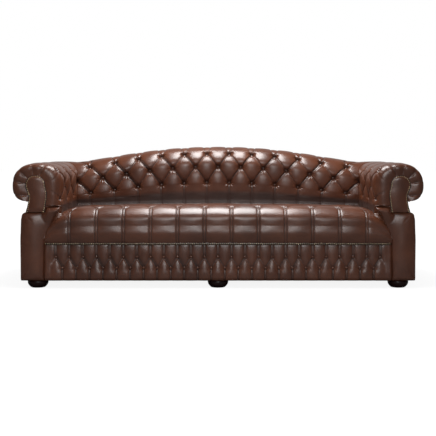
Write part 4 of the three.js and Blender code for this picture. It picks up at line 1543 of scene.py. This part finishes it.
@dataclass(frozen=True)
class OuterCover:
    """A smooth cover that runs round the outside of the arms and the back, mitred at the rear corners."""

    radius: float
    arm_name: str
    arm_places: tuple[float, float, int]
    back_name: str
    back_places: tuple[float, float, int]
    humped: bool

    def section(self) -> Array:
        """The section as rows of reach and height."""
        raise NotImplementedError

    def corner(self, turn: float) -> tuple[Array, Array]:
        """How far the rounded corner runs beside and along the cover at an angle, without the place of the roll."""
        reach = self.section()[:, 0]
        return reach - self.radius * (1 - math.cos(turn)), reach - self.radius * (1 - math.sin(turn))

    def along_arm(self, side: Side) -> Object:
        """Makes the cover of one arm, from its front to the mitre.

        Args:
            side: the arm's side.

        Returns:
            The cover.
        """
        reach, z = self.section().T
        places = np.linspace(*self.arm_places)
        rings = [np.stack([side.value * (SIZES.roll_x + reach), np.full_like(reach, y), z], axis=-1) for y in places]
        for turn in np.linspace(0, math.pi / 4, 8)[1:]:
            beside, along = self.corner(turn)
            y = np.maximum(SIZES.roll_y + along, places[-1] + 0.004 * turn) - MITRE_GAP
            rings.append(np.stack([side.value * (SIZES.roll_x + beside), y, z], axis=-1))
        return strip(f"{side.word}_{self.arm_name}", np.array(rings))

    def along_back(self) -> Object:
        """Makes the cover of the back, from mitre to mitre.

        Returns:
            The cover.
        """
        reach, z = self.section().T
        places = np.linspace(*self.back_places)
        corner = []
        for turn in np.linspace(math.pi / 4, 0, 8)[:-1]:
            beside, along = self.corner(turn)
            x = np.maximum(SIZES.roll_x + along, places[-1] + 0.004 * turn) - MITRE_GAP
            corner.append(np.stack([x, SIZES.roll_y + beside, z], axis=-1))
        middle = []
        for place in places:
            x = np.full_like(reach, place)
            middle.append(np.stack([x, SIZES.roll_y + reach, lifted(x, z) if self.humped else z], axis=-1))
        left = [ring * np.array([-1, 1, 1]) for ring in corner]
        return strip(self.back_name, np.array(left + middle + corner[::-1]))


@dataclass(frozen=True)
class BaseSkirt(OuterCover):
    """The plain padded cover of the base, with the ledge on top."""

    radius: float = 0.022
    arm_name: str = "side_cover"
    arm_places: tuple[float, float, int] = (-0.4327, 0.395, 40)
    back_name: str = "back_border_cover"
    back_places: tuple[float, float, int] = (-1.1, 1.1, 61)
    humped: bool = False
    swell: float = 0.0025
    ledge: Profile = (
        (0.0785, 0.415), (0.0765, 0.428), (0.0745, 0.438), (0.0715, 0.446), (0.0670, 0.4505), (0.0600, 0.4540),
        (0.0500, 0.4566), (0.0416, 0.4576), (0.0362, 0.4576), (0.0360, 0.4572), (0.0360, 0.4530), (0.0552, 0.4518),
        (0.0555, 0.4500), (0.0555, 0.2500), (0.0555, 0.0495), (0.0558, 0.049))

    def section(self) -> Array:
        """The section as rows of reach and height: up the outside, over the ledge and down the inside.

        Returns:
            The section.
        """
        z = np.linspace(0.060, 0.400, 22)
        bow = np.interp(z, [0.049, 0.287, 0.412], [0.0845, 0.0841, 0.0785])
        bow = bow + self.swell * np.sin(np.clip((z - 0.049) / 0.39, 0, 1) * math.pi)
        return np.concatenate([[(0.0845, 0.049), (0.0845, 0.052)], np.stack([bow, z], axis=-1), self.ledge])


@dataclass(frozen=True)
class OutsidePanel(OuterCover):
    """The smooth panel between the ledge and the neck of the roll."""

    radius: float = 0.020
    arm_name: str = "outside_cover"
    arm_places: tuple[float, float, int] = (-0.4500, 0.350, 40)
    back_name: str = "outside_back_cover"
    back_places: tuple[float, float, int] = (-1.085, 1.085, 121)
    humped: bool = True
    thickness: float = 0.008

    def section(self) -> Array:
        """The section as rows of reach and height.

        Returns:
            The section.
        """
        z = np.concatenate([[0.4582], np.linspace(0.460, SIZES.neck_z - 0.0006, 16)])
        reach = np.interp(z, [0.4582, 0.466, 0.498, 0.5216], [0.050, 0.0485, 0.0375, 0.0335])
        outer = np.stack([reach, z], axis=-1)
        return np.concatenate([outer, outer[::-1] - np.array([self.thickness, 0])])


class Nodes:
    """A node tree, with short ways to add to it."""

    def __init__(self, tree: bpy.types.NodeTree) -> None:
        """Takes the tree to add to."""
        self.tree = tree

    def feed(self, node: bpy.types.Node, inputs: dict[str | int, object]) -> None:
        """Gives a node's inputs, by name or number, a value or the output of another node.

        Args:
            node: the node.
            inputs: what each of its inputs gets.
        """
        for key, value in inputs.items():
            if isinstance(value, Socket):
                self.tree.links.new(value, node.inputs[key])
            else:
                node.inputs[key].default_value = value

    def add(self, kind: str, inputs: dict[str | int, object] | None = None, **settings: object) -> bpy.types.Node:
        """Adds a node.

        Args:
            kind: its type.
            inputs: a value or another node's output for each input, by name or number.
            settings: its own properties.

        Returns:
            The node.
        """
        node = self.tree.nodes.new(kind)
        for name, value in settings.items():
            setattr(node, name, value)
        self.feed(node, inputs or {})
        return node

    def math(self, operation: str, first: Socket | float, second: Socket | float) -> Socket:
        """Joins two values by an operation."""
        return self.add("ShaderNodeMath", {0: first, 1: second}, operation=operation).outputs["Value"]

    def ranged(self, value: Socket, start: Sequence[float], end: Sequence[float], step: str = "LINEAR") -> Socket:
        """Maps a value from one range to another."""
        inputs = {"Value": value, "From Min": start[0], "From Max": start[1], "To Min": end[0], "To Max": end[1]}
        return self.add("ShaderNodeMapRange", inputs, interpolation_type=step).outputs["Result"]


class Surface(Nodes):
    """A material's node tree, on Object coordinates."""

    def __init__(self, name: str) -> None:
        """Starts a material with a Principled shader.

        Args:
            name: the material's name.
        """
        self.material = bpy.data.materials.new(name)
        self.material.use_nodes = True
        super().__init__(self.material.node_tree)
        self.shader = next(node for node in self.tree.nodes if node.type == "BSDF_PRINCIPLED")
        self.place = self.add("ShaderNodeTexCoord").outputs["Object"]

    def noise(self, scale: float, detail: float = 3.0, roughness: float = 0.55, vector: Socket | None = None) -> Socket:
        """Adds a noise texture and returns its value."""
        inputs = {"Scale": scale, "Detail": detail, "Roughness": roughness, "Vector": vector or self.place}
        return self.add("ShaderNodeTexNoise", inputs).outputs["Fac"]

    def mixed(self, share: Socket, first: Socket | Colour, second: Socket | Colour) -> Socket:
        """Mixes two colours, each a socket or red, green and blue."""
        first, second = (colour if isinstance(colour, Socket) else (*colour, 1.0) for colour in (first, second))
        return self.add("ShaderNodeMix", {0: share, 6: first, 7: second}, data_type="RGBA").outputs[2]

    def toned(self, colour: Socket, value: Socket) -> Socket:
        """Makes a colour darker or brighter."""
        return self.add("ShaderNodeHueSaturation", {"Value": value, "Color": colour}).outputs["Color"]

    def bump(self, height: Socket, distance: float, strength: float, normal: Socket | None = None) -> Socket:
        """Adds a bump, on top of another where one is given, and returns its normal."""
        inputs = {"Distance": distance, "Strength": strength, "Height": height}
        return self.add("ShaderNodeBump", inputs if normal is None else {**inputs, "Normal": normal}).outputs["Normal"]

    def finish(self, colour: Socket, roughness: Socket | float, normal: Socket | None, **fixed: float) -> Material:
        """Connects the shader.

        Args:
            colour: the base colour.
            roughness: the roughness.
            normal: the bumped normal.
            fixed: values of its other sockets, with _ for a space.

        Returns:
            The material.
        """
        inputs = {"Base Color": colour, "Roughness": roughness}
        if normal is not None:
            inputs["Normal"] = normal
        self.feed(self.shader, inputs | {name.replace("_", " "): value for name, value in fixed.items()})
        return self.material


@dataclass(frozen=True)
class Studs:
    """Round heads set on a cover by a Geometry Nodes tree: buttons or nails."""

    radius: float
    flatness: float
    segments: int = 12
    rings: int = 7
    variation: float = 0.04
    seed: int = 1

    def tree(self, name: str) -> bpy.types.NodeTree:
        """Builds the node tree.

        Args:
            name: the tree's name.

        Returns:
            The tree, with named inputs for its sizes.
        """
        tree = bpy.data.node_groups.new(name, "GeometryNodeTree")
        for label, kind in (("Geometry", "Geometry"), ("Radius", "Float"), ("Flatness", "Float"),
                            ("Variation", "Float"), ("Seed", "Int"), ("Finish", "Material")):
            tree.interface.new_socket(label, in_out="INPUT", socket_type=f"NodeSocket{kind}")
        tree.interface.new_socket("Geometry", in_out="OUTPUT", socket_type="NodeSocketGeometry")
        nodes = Nodes(tree)
        given = nodes.add("NodeGroupInput").outputs
        head = nodes.add("GeometryNodeMeshUVSphere",
                         {"Segments": self.segments, "Rings": self.rings, "Radius": given["Radius"]})
        size = nodes.add("ShaderNodeCombineXYZ", {"X": 1.0, "Y": 1.0, "Z": given["Flatness"]})
        flat = nodes.add("GeometryNodeTransform", {"Geometry": head.outputs["Mesh"], "Scale": size.outputs["Vector"]})
        facing = nodes.add("GeometryNodeInputNamedAttribute", {"Name": "facing"}, data_type="FLOAT_VECTOR")
        turn = nodes.add("FunctionNodeAlignRotationToVector", {"Vector": facing.outputs["Attribute"]}, axis="Z")
        low, high = (nodes.math(way, 1.0, given["Variation"]) for way in ("SUBTRACT", "ADD"))
        chance = nodes.add("FunctionNodeRandomValue", {2: low, 3: high, "Seed": given["Seed"]}, data_type="FLOAT")
        setting = nodes.add("GeometryNodeInstanceOnPoints", {
            "Points": given["Geometry"], "Instance": flat.outputs["Geometry"],
            "Rotation": turn.outputs["Rotation"], "Scale": chance.outputs[1]})
        real = nodes.add("GeometryNodeRealizeInstances", {"Geometry": setting.outputs["Instances"]})
        dress = nodes.add("GeometryNodeSetMaterial",
                          {"Geometry": real.outputs["Geometry"], "Material": given["Finish"]})
        nodes.add("NodeGroupOutput", {"Geometry": dress.outputs["Geometry"]})
        return tree

    def build(self, name: str, places: Sequence[Place], finish: Material) -> Object:
        """Sets a head at each place.

        Args:
            name: the object's name.
            places: where they sit and how they face.
            finish: their material.

        Returns:
            One plain mesh object.
        """
        mesh = bpy.data.meshes.new(name)
        mesh.from_pydata([place.point for place in places], [], [])
        facing = mesh.attributes.new("facing", "FLOAT_VECTOR", "POINT")
        facing.data.foreach_set("vector", np.array([place.facing for place in places], np.float32).ravel())
        made = linked(name, mesh)
        modifier = made.modifiers.new("heads", "NODES")
        modifier.node_group = self.tree(name + "_tree")
        sockets = {s.name: s.identifier for s in modifier.node_group.interface.items_tree if s.in_out == "INPUT"}
        for label, value in (("Radius", self.radius), ("Flatness", self.flatness), ("Variation", self.variation),
                             ("Seed", self.seed), ("Finish", finish)):
            modifier[sockets[label]] = value
        return plain(made)


@dataclass(frozen=True)
class NailRows:
    """Antique brass nails, side by side: one row under the seat and one round each facing."""

    pitch: float = 0.0119
    front_z: float = 0.2685
    front_y: float = -0.4570
    front_reach: float = 1.0315
    facing_inset: float = 0.0068
    facing_y: float = -0.4572
    ahead: Triple = (0.0, -1.0, 0.0)
    heads: Studs = Studs(radius=0.0027, flatness=0.80, segments=10, rings=6, variation=0.05, seed=7)

    def front(self, finish: Material) -> Object:
        """Makes the row under the seat.

        Args:
            finish: the nails' material.

        Returns:
            The row.
        """
        places = [Place((x, self.front_y, self.front_z), self.ahead)
                  for x in np.arange(-self.front_reach, self.front_reach + self.pitch / 2, self.pitch)]
        return self.heads.build("front_nail_row", places, finish)

    def round_facing(self, side: Side, finish: Material) -> Object:
        """Makes the row round one facing.

        Args:
            side: the facing's side.
            finish: the nails' material.

        Returns:
            The row.
        """
        outline = FACING.outline(self.facing_inset)
        outline[0, 1] = outline[-1, 1] = FACING.foot_z + 0.003
        length = np.concatenate([[0], np.cumsum(np.linalg.norm(np.diff(outline, axis=0), axis=1))])
        along = np.linspace(0, length[-1], round(length[-1] / self.pitch) + 1)
        reach, z = (np.interp(along, length, outline[:, axis]) for axis in (0, 1))
        places = [Place((side.value * (SIZES.roll_x + r), self.facing_y, h), self.ahead) for r, h in zip(reach, z)]
        return self.heads.build(f"{side.word}_facing_nail_row", places, finish)

    def trim(self, name: str, path: Array, across: Array, y: float, half: float, deep: float,
             foot_z: float = 0.0) -> Object:
        """Makes a near-black strip that a row is driven through, painted shade round and between the nail heads.

        Args:
            name: its name.
            path: rows of place along the sofa and height.
            across: the direction across the strip at each of them.
            y: the depth of its middle.
            half: half its width.
            deep: half its thickness.
            foot_z: the height that it doesn't go below.

        Returns:
            The strip.
        """
        turn = np.linspace(0, 2 * math.pi, 13)[:-1]
        flat = path[:, None] + half * np.cos(turn)[:, None] * across[:, None]
        depth = np.broadcast_to(y + deep * np.sin(turn), flat.shape[:2])
        return strip(name, np.stack([flat[..., 0], depth, np.maximum(flat[..., 1], foot_z)], axis=-1))

    def front_shade_strip(self) -> Object:
        """Makes the strip under the front row.

        Returns:
            The strip.
        """
        places = np.linspace(-self.front_reach - 0.004, self.front_reach + 0.004, 120)
        path = np.stack([places, np.full(len(places), self.front_z)], axis=-1)
        up = np.broadcast_to([0.0, 1.0], path.shape)
        return self.trim("front_nail_shade_strip", path, up, self.front_y + 0.0022, 0.0060, 0.0016)

    def facing_trim(self, side: Side) -> Object:
        """Makes the strip under the row round one facing.

        Args:
            side: the facing's side.

        Returns:
            The strip.
        """
        outline = FACING.outline(self.facing_inset)
        mirror = np.array([side.value, 1])
        path = (outline + np.array([SIZES.roll_x, 0])) * mirror
        return self.trim(f"{side.word}_facing_trim", path, square_to(outline) * mirror, self.facing_y + 0.0020,
                         0.0062, 0.0015, FACING.foot_z + 0.0002)


@dataclass(frozen=True)
class BunFoot:
    """A low turned foot."""

    x: float
    y: float
    segments: int = 48
    profile: Profile = (
        (0.0370, 0.0), (0.0405, 0.0006), (0.0440, 0.0026), (0.0492, 0.0074), (0.0540, 0.0128), (0.0578, 0.0182),
        (0.0604, 0.0240), (0.0618, 0.0300), (0.0620, 0.0345), (0.0614, 0.0390), (0.0596, 0.0425), (0.0560, 0.0450),
        (0.0500, 0.0466), (0.0420, 0.0474), (0.0410, 0.0490), (0.0410, 0.0506))

    def build(self, name: str) -> Object:
        """Makes the foot.

        Args:
            name: its place on the sofa.

        Returns:
            The foot.
        """
        points, faces, count = [], [], self.segments
        for level, (radius, z) in enumerate(self.profile):
            for k in range(count):
                angle = 2 * math.pi * k / count
                points.append((self.x + radius * math.cos(angle), self.y + radius * math.sin(angle), z))
                if level:
                    a, b = (level - 1) * count + k, (level - 1) * count + (k + 1) % count
                    faces.append((a, b, b + count, a + count))
        faces += [tuple(range(count))[::-1], tuple(range(len(points) - count, len(points)))]
        return made_object(f"{name}_bun_foot", np.array(points), faces)


@dataclass(frozen=True)
class LeatherFinish:
    """Hand-antiqued hide: mottled colour, painted shade that darkens its folds, pebbled grain and small creases."""

    name: str = "antique_leather"
    deep: Colour = (0.078, 0.0225, 0.0092)
    warm: Colour = (0.125, 0.0385, 0.0165)
    rubbed: Colour = (0.158, 0.056, 0.026)
    # The colour of painted shade, in folds, pleats, button pits and towards the foot of the back and arms
    fold: Colour = (0.016, 0.0045, 0.0022)
    roughness: tuple[float, float] = (0.28, 0.37)
    grain: float = 0.00016
    specular: float = 0.85

    def material(self) -> Material:
        """Builds the material.

        Returns:
            The material.
        """
        nodes = Surface(self.name)
        broad, cloudy = nodes.noise(4.2, 4.0, 0.6), nodes.noise(19.0, 5.0, 0.6)
        colour = nodes.mixed(nodes.ranged(broad, (0.34, 0.66), (0, 1)), self.deep, self.warm)
        worn = nodes.math("MULTIPLY", nodes.ranged(cloudy, (0.50, 0.74), (0, 0.45)),
                          nodes.ranged(broad, (0.4, 0.65), (0.3, 1)))
        colour = nodes.mixed(worn, colour, self.rubbed)
        colour = nodes.toned(colour, nodes.ranged(nodes.noise(260.0, 2.0), (0.35, 0.65), (0.82, 1.14)))
        # Painted shade: the shade attribute darkens the colour towards the fold colour
        shade = nodes.add("ShaderNodeAttribute", attribute_name="shade").outputs["Fac"]
        colour = nodes.mixed(nodes.ranged(shade, (0.15, 1), (0, 0.85)), colour, self.fold)
        cells = nodes.add("ShaderNodeTexVoronoi", {"Scale": 330.0, "Vector": nodes.place}, feature="SMOOTH_F1")
        pebbles = nodes.math("MULTIPLY", cells.outputs["Distance"], 0.9)
        height = nodes.math("ADD", pebbles, nodes.math("MULTIPLY", nodes.noise(820.0, 2.0), 0.3))
        normal = nodes.bump(height, self.grain, 0.7)
        normal = nodes.bump(nodes.noise(95.0, 6.0, 0.65), self.grain * 4, 0.35, normal)
        rough = nodes.ranged(nodes.noise(11.0, 4.0, 0.6), (0.3, 0.7), self.roughness)
        rough = nodes.math("ADD", rough, nodes.math("MULTIPLY", shade, 0.22))
        return nodes.finish(colour, rough, normal, Specular_IOR_Level=self.specular)


@dataclass(frozen=True)
class BrassFinish:
    """Dull antique brass with patches of tarnish."""

    name: str = "antique_brass"
    bright: Colour = (0.95, 0.70, 0.42)
    tarnish: Colour = (0.30, 0.20, 0.11)
    roughness: tuple[float, float] = (0.34, 0.57)
    metallic: float = 0.25

    def material(self) -> Material:
        """Builds the material.

        Returns:
            The material.
        """
        nodes = Surface(self.name)
        patch = nodes.noise(160.0, 4.0, 0.6)
        colour = nodes.mixed(nodes.ranged(patch, (0.35, 0.7), (0, 1)), self.bright, self.tarnish)
        normal = nodes.bump(nodes.noise(900.0), 0.00008, 0.5)
        return nodes.finish(colour, nodes.ranged(patch, (0.3, 0.7), self.roughness), normal, Metallic=self.metallic)


@dataclass(frozen=True)
class SteelFinish:
    """Plain steel wire and bolts."""

    name: str = "spring_steel"
    bright: Colour = (0.30, 0.30, 0.31)
    dull: Colour = (0.17, 0.165, 0.16)
    roughness: tuple[float, float] = (0.30, 0.48)

    def material(self) -> Material:
        """Builds the material.

        Returns:
            The material.
        """
        nodes = Surface(self.name)
        patch = nodes.noise(60.0, 4.0)
        colour = nodes.mixed(nodes.ranged(patch, (0.35, 0.65), (0, 1)), self.bright, self.dull)
        rough = nodes.ranged(patch, (0.3, 0.7), self.roughness)
        return nodes.finish(colour, rough, nodes.bump(patch, 0.0001, 0.4), Metallic=1.0)


@dataclass(frozen=True)
class WoodFinish:
    """Timber with grain along one axis, raw or stained and polished."""

    name: str
    stretch: Triple
    light: Colour = (0.42, 0.27, 0.15)
    dark: Colour = (0.27, 0.155, 0.075)
    roughness: float = 0.6

    def material(self) -> Material:
        """Builds the material.

        Returns:
            The material.
        """
        nodes = Surface(self.name)
        vector = nodes.add("ShaderNodeMapping", {"Scale": self.stretch, "Vector": nodes.place}).outputs["Vector"]
        rings, pores = nodes.noise(9.0, 5.0, 0.6, vector), nodes.noise(70.0, 3.0, 0.6, vector)
        bands = nodes.add("ShaderNodeMath", {0: nodes.math("MULTIPLY", rings, 7.0)}, operation="FRACT")
        share = nodes.math("ADD", bands.outputs["Value"], nodes.math("MULTIPLY", pores, 0.6))
        colour = nodes.mixed(nodes.ranged(share, (0.2, 1.5), (0, 1)), self.light, self.dark)
        rough = nodes.ranged(pores, (0.3, 0.7), (self.roughness - 0.06, self.roughness + 0.08))
        return nodes.finish(colour, rough, nodes.bump(pores, 0.0002, 0.6))


@dataclass(frozen=True)
class WovenFinish:
    """A plain-woven cloth."""

    name: str
    thread: Colour
    gap: Colour
    scale: float = 30.0

    def material(self) -> Material:
        """Builds the material.

        Returns:
            The material.
        """
        nodes = Surface(self.name)
        waves = [nodes.add("ShaderNodeTexWave", {"Scale": self.scale, "Distortion": 0.6, "Vector": nodes.place},
                           wave_type="BANDS", bands_direction=axis).outputs["Fac"] for axis in "XYZ"]
        weave = nodes.math("MULTIPLY", nodes.math("ADD", nodes.math("ADD", waves[0], waves[1]), waves[2]), 0.34)
        colour = nodes.mixed(nodes.ranged(weave, (0.2, 0.8), (0, 1)), self.gap, self.thread)
        colour = nodes.toned(colour, nodes.ranged(nodes.noise(40.0), (0.3, 0.7), (0.85, 1.1)))
        return nodes.finish(colour, 0.9, nodes.bump(weave, 0.0004, 0.8), Specular_IOR_Level=0.2)


@dataclass(frozen=True)
class Lamp:
    """A large soft lamp: where it hangs, what it faces, its width and height, and its power in watts."""

    name: str
    place: Triple
    target: Triple
    size: tuple[float, float]
    power: float

    def build(self) -> None:
        """Hangs the lamp."""
        data = bpy.data.lights.new(self.name, "AREA")
        data.shape, data.size, data.size_y, data.energy = "RECTANGLE", *self.size, self.power
        made = bpy.data.objects.new(self.name, data)
        made.location = self.place
        made.rotation_euler = (Vector(self.target) - Vector(self.place)).to_track_quat("-Z", "Y").to_euler()
        bpy.context.scene.collection.objects.link(made)


@dataclass(frozen=True)
class Studio:
    """The floor, the lamps, the surroundings and the camera."""

    camera_distance: float = 5.5
    camera_height: float = 0.82
    focal: float = 76.5
    tilt: float = 4.12
    floor_reach: float = 30.0
    backdrop_shine: float = 0.45
    lamps: tuple[Lamp, ...] = (
        Lamp("overhead", (0.0, -0.25, 2.9), (0.0, -0.2, 0.5), (1.15, 2.0), 96.0),
        Lamp("above_camera", (0.0, -6.4, 2.5), (0.0, -0.4, 0.45), (1.4, 1.8), 62.0))

    def floor(self) -> Object:
        """Makes the floor, which keeps the sofa's shadow and glows nearly white for the camera, with painted light.

        Returns:
            The floor.
        """
        far = self.floor_reach
        mesh = bpy.data.meshes.new("floor")
        mesh.from_pydata([(-far, -far, 0), (far, -far, 0), (far, far, 0), (-far, far, 0)], [], [(0, 1, 2, 3)])
        nodes = Surface("floor_paint")
        # Painted light: the floor is dark grey to the light it bounces and lighter to the camera, and for the camera
        # alone it glows, 0.89 within 1.3 m of the middle rising to 1 beyond 2.6 m
        seen = nodes.add("ShaderNodeLightPath").outputs["Is Camera Ray"]
        nodes.finish(nodes.mixed(seen, (0.13, 0.13, 0.13), (0.16, 0.16, 0.16)), 0.9, None, Specular_IOR_Level=0.0)
        away = nodes.add("ShaderNodeVectorMath", {0: nodes.place}, operation="LENGTH").outputs["Value"]
        bright = nodes.math("MULTIPLY", seen, nodes.ranged(away, (1.3, 2.6), (0.89, 1)))
        glow = nodes.add("ShaderNodeEmission", {"Strength": bright})
        joined = nodes.add("ShaderNodeAddShader", {0: nodes.shader.outputs[0], 1: glow.outputs[0]})
        output = next(node for node in nodes.tree.nodes if node.type == "OUTPUT_MATERIAL")
        nodes.feed(output, {"Surface": joined.outputs[0]})
        mesh.materials.append(nodes.material)
        return linked("floor", mesh)

    def surroundings(self) -> None:
        """Makes the white backdrop and the dim studio in front of it."""
        world = bpy.data.worlds.new("studio")
        bpy.context.scene.world = world
        world.use_nodes = True
        world.node_tree.nodes.clear()
        nodes = Nodes(world.node_tree)
        ray = nodes.add("ShaderNodeLightPath").outputs
        way = nodes.add("ShaderNodeTexCoord").outputs["Generated"]
        behind = nodes.ranged(nodes.add("ShaderNodeSeparateXYZ", {"Vector": way}).outputs["Y"], (0.50, 0.85), (0, 1),
                              "SMOOTHSTEP")
        glossy = nodes.math("MAXIMUM", ray["Is Glossy Ray"], ray["Is Transmission Ray"])
        shine = nodes.math("MULTIPLY", nodes.math("MULTIPLY", glossy, behind), self.backdrop_shine)
        white = nodes.math("MAXIMUM", ray["Is Camera Ray"], shine)
        fill = nodes.ranged(glossy, (0, 1), (0.54, 0.025))
        dim = nodes.add("ShaderNodeBackground", {"Color": (0.96, 0.98, 1.0, 1.0), "Strength": fill})
        bright = nodes.add("ShaderNodeBackground", {"Color": (1.0, 1.0, 1.0, 1.0), "Strength": 1.0})
        blend = nodes.add("ShaderNodeMixShader", {"Fac": white, 1: dim.outputs[0], 2: bright.outputs[0]})
        nodes.add("ShaderNodeOutputWorld", {"Surface": blend.outputs[0]})

    def build(self) -> None:
        """Makes the whole studio."""
        scene = bpy.context.scene
        scene.view_settings.view_transform = "Standard"
        self.floor()
        self.surroundings()
        for lamp in self.lamps:
            lamp.build()
        data = bpy.data.cameras.new("camera")
        data.sensor_width, data.lens = 36.0, self.focal
        camera = bpy.data.objects.new("camera", data)
        camera.location = (0.0, SIZES.front_y - self.camera_distance, self.camera_height)
        camera.rotation_euler = (math.radians(90 - self.tilt), 0, 0)
        scene.collection.objects.link(camera)
        scene.camera = camera


@dataclass
class Sofa:
    """The whole sofa: its covers, buttons, nails and feet, and the finishes of its hidden frame."""

    leather: Material = field(init=False)
    trim: Material = field(init=False)
    brass: Material = field(init=False)
    foot_x: float = 1.090
    front_foot_y: float = -0.390
    rear_foot_y: float = 0.340
    pieces: int = 0

    def place(self, made: Object, slot: Slot, nodes: Sequence[str], finish: Material,
              fill: float | None = None) -> None:
        """Dresses a piece and sets it on the frame.

        Args:
            made: the piece.
            slot: its material slot in the record; not used.
            nodes: the solids that it stands for.
            finish: its material.
            fill: how tightly it is stuffed, for a padded piece; not used.
        """
        made.data.materials.clear()
        made.data.materials.append(finish)
        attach(made, BODY)
        if nodes:
            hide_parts(*nodes)
        self.pieces += 1
        log.info("%s: %d faces", made.name, len(made.data.polygons))

    def cover(self, made: Object, node: str, fill: float) -> None:
        """Sets a stuffed leather piece on the frame in place of a solid."""
        self.place(made, Slot.LEATHER, [node], self.leather, fill)

    def covers(self) -> None:
        """Makes the leather covers."""
        skirt, panel = BaseSkirt(), OutsidePanel()
        self.cover(BackPad().build(), "back_pad", 0.9)
        self.cover(SeatPad().build(), "seat_pad", 0.95)
        self.cover(FrontBorder().build(), "front_border", 0.9)
        self.cover(skirt.along_back(), "back_border", 0.8)
        self.cover(panel.along_back(), "outside_back_panel", 0.6)
        for side in Side:
            self.cover(ArmPad(side=side).build(), f"{side.word}_arm_pad", 0.9)
            self.cover(ArmBlock(side).build(), f"{side.word}_arm_block", 0.8)
            self.cover(FacingPanel(side).build(), f"{side.word}_facing_panel", 0.6)
            self.cover(skirt.along_arm(side), f"{side.word}_side_border", 0.8)
            self.cover(panel.along_arm(side), f"{side.word}_outside_arm_panel", 0.6)

    def buttons(self) -> None:
        """Makes the leather buttons."""
        large = Studs(radius=0.0115, flatness=0.45, segments=14, rings=8, seed=3)
        small = Studs(radius=0.0085, flatness=0.6, seed=4)
        arms = [(f"{side.word}_arm", ArmPad(side=side), large) for side in Side]
        for name, pad, studs in [("back", BackPad(), large), ("seat", SeatPad(), large),
                                 ("border", FrontBorder(), small), *arms]:
            self.place(studs.build(f"{name}_buttons", pad.buttons(), self.leather), Slot.LEATHER, [], self.leather)

    def nails(self) -> None:
        """Makes the nail rows and the strips under them."""
        rows, brass = NailRows(), self.brass
        self.place(rows.front(brass), Slot.NAILS, ["front_nails"], brass)
        self.place(rows.front_shade_strip(), Slot.LEATHER, [], self.trim)
        for side in Side:
            self.place(rows.round_facing(side, brass), Slot.NAILS, [f"{side.word}_facing_nails"], brass)
            self.place(rows.facing_trim(side), Slot.LEATHER, [], self.trim)

    def feet(self) -> None:
        """Makes the turned feet."""
        stained = WoodFinish("stained_foot", (1, 1, 3), (0.014, 0.0008, 0.0003), (0.008, 0.0005, 0.0002), 0.36)
        stained = stained.material()
        for where, x in (("left", -self.foot_x), ("centre", 0.0), ("right", self.foot_x)):
            for row, y in (("front", self.front_foot_y), ("rear", self.rear_foot_y)):
                self.place(BunFoot(x, y).build(f"{where}_{row}"), Slot.FEET, [f"{where}_{row}_foot"], stained)

    def frame_finishes(self) -> None:
        """Gives each solid that stays a finish of its own."""
        along_x = WoodFinish("rail_timber", (0.35, 3, 3)).material()
        along_y = WoodFinish("side_timber", (3, 0.35, 3)).material()
        upright = WoodFinish("post_timber", (3, 3, 0.35)).material()
        cloth = WovenFinish("hessian_cloth", (0.36, 0.25, 0.13), (0.10, 0.065, 0.035)).material()
        dust = WovenFinish("dust_cover_cloth", (0.020, 0.020, 0.021), (0.006, 0.006, 0.006), 45.0).material()
        steel = SteelFinish().material()
        for name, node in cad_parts.items():
            if name.endswith(("post", "upright", "block", "board")):
                finish = upright
            elif name in ("front_rail", "back_rail", "back_stuffing_rail", "back_top_rail"):
                finish = along_x
            elif name.endswith("rail"):
                finish = along_y
            elif "hessian" in name or name == "seat_spring_cover":
                finish = cloth
            elif name == "dust_cover":
                finish = dust
            elif "bolt" in name or "spring" in name:
                finish = steel
            elif name.endswith("nails"):
                finish = self.brass
            else:
                finish = self.leather
            node.data.materials.clear()
            node.data.materials.append(finish)

    def build(self) -> None:
        """Makes every piece."""
        self.leather = LeatherFinish().material()
        self.brass = BrassFinish().material()
        # Near-black leather for the strips under the nail rows: painted shade round and between the nail heads
        self.trim = LeatherFinish("trim_leather", (0.012, 0.004, 0.002), (0.018, 0.007, 0.004),
                                  (0.022, 0.010, 0.006)).material()
        self.frame_finishes()
        self.covers()
        self.buttons()
        self.nails()
        self.feet()


def main() -> None:
    """Builds the sofa and its studio."""
    logging.basicConfig(level=logging.INFO, format="%(name)s: %(message)s")
    sofa = Sofa()
    sofa.build()
    Studio().build()
    log.info("%d pieces", sofa.pieces)


if __name__ == "__main__":
    main()
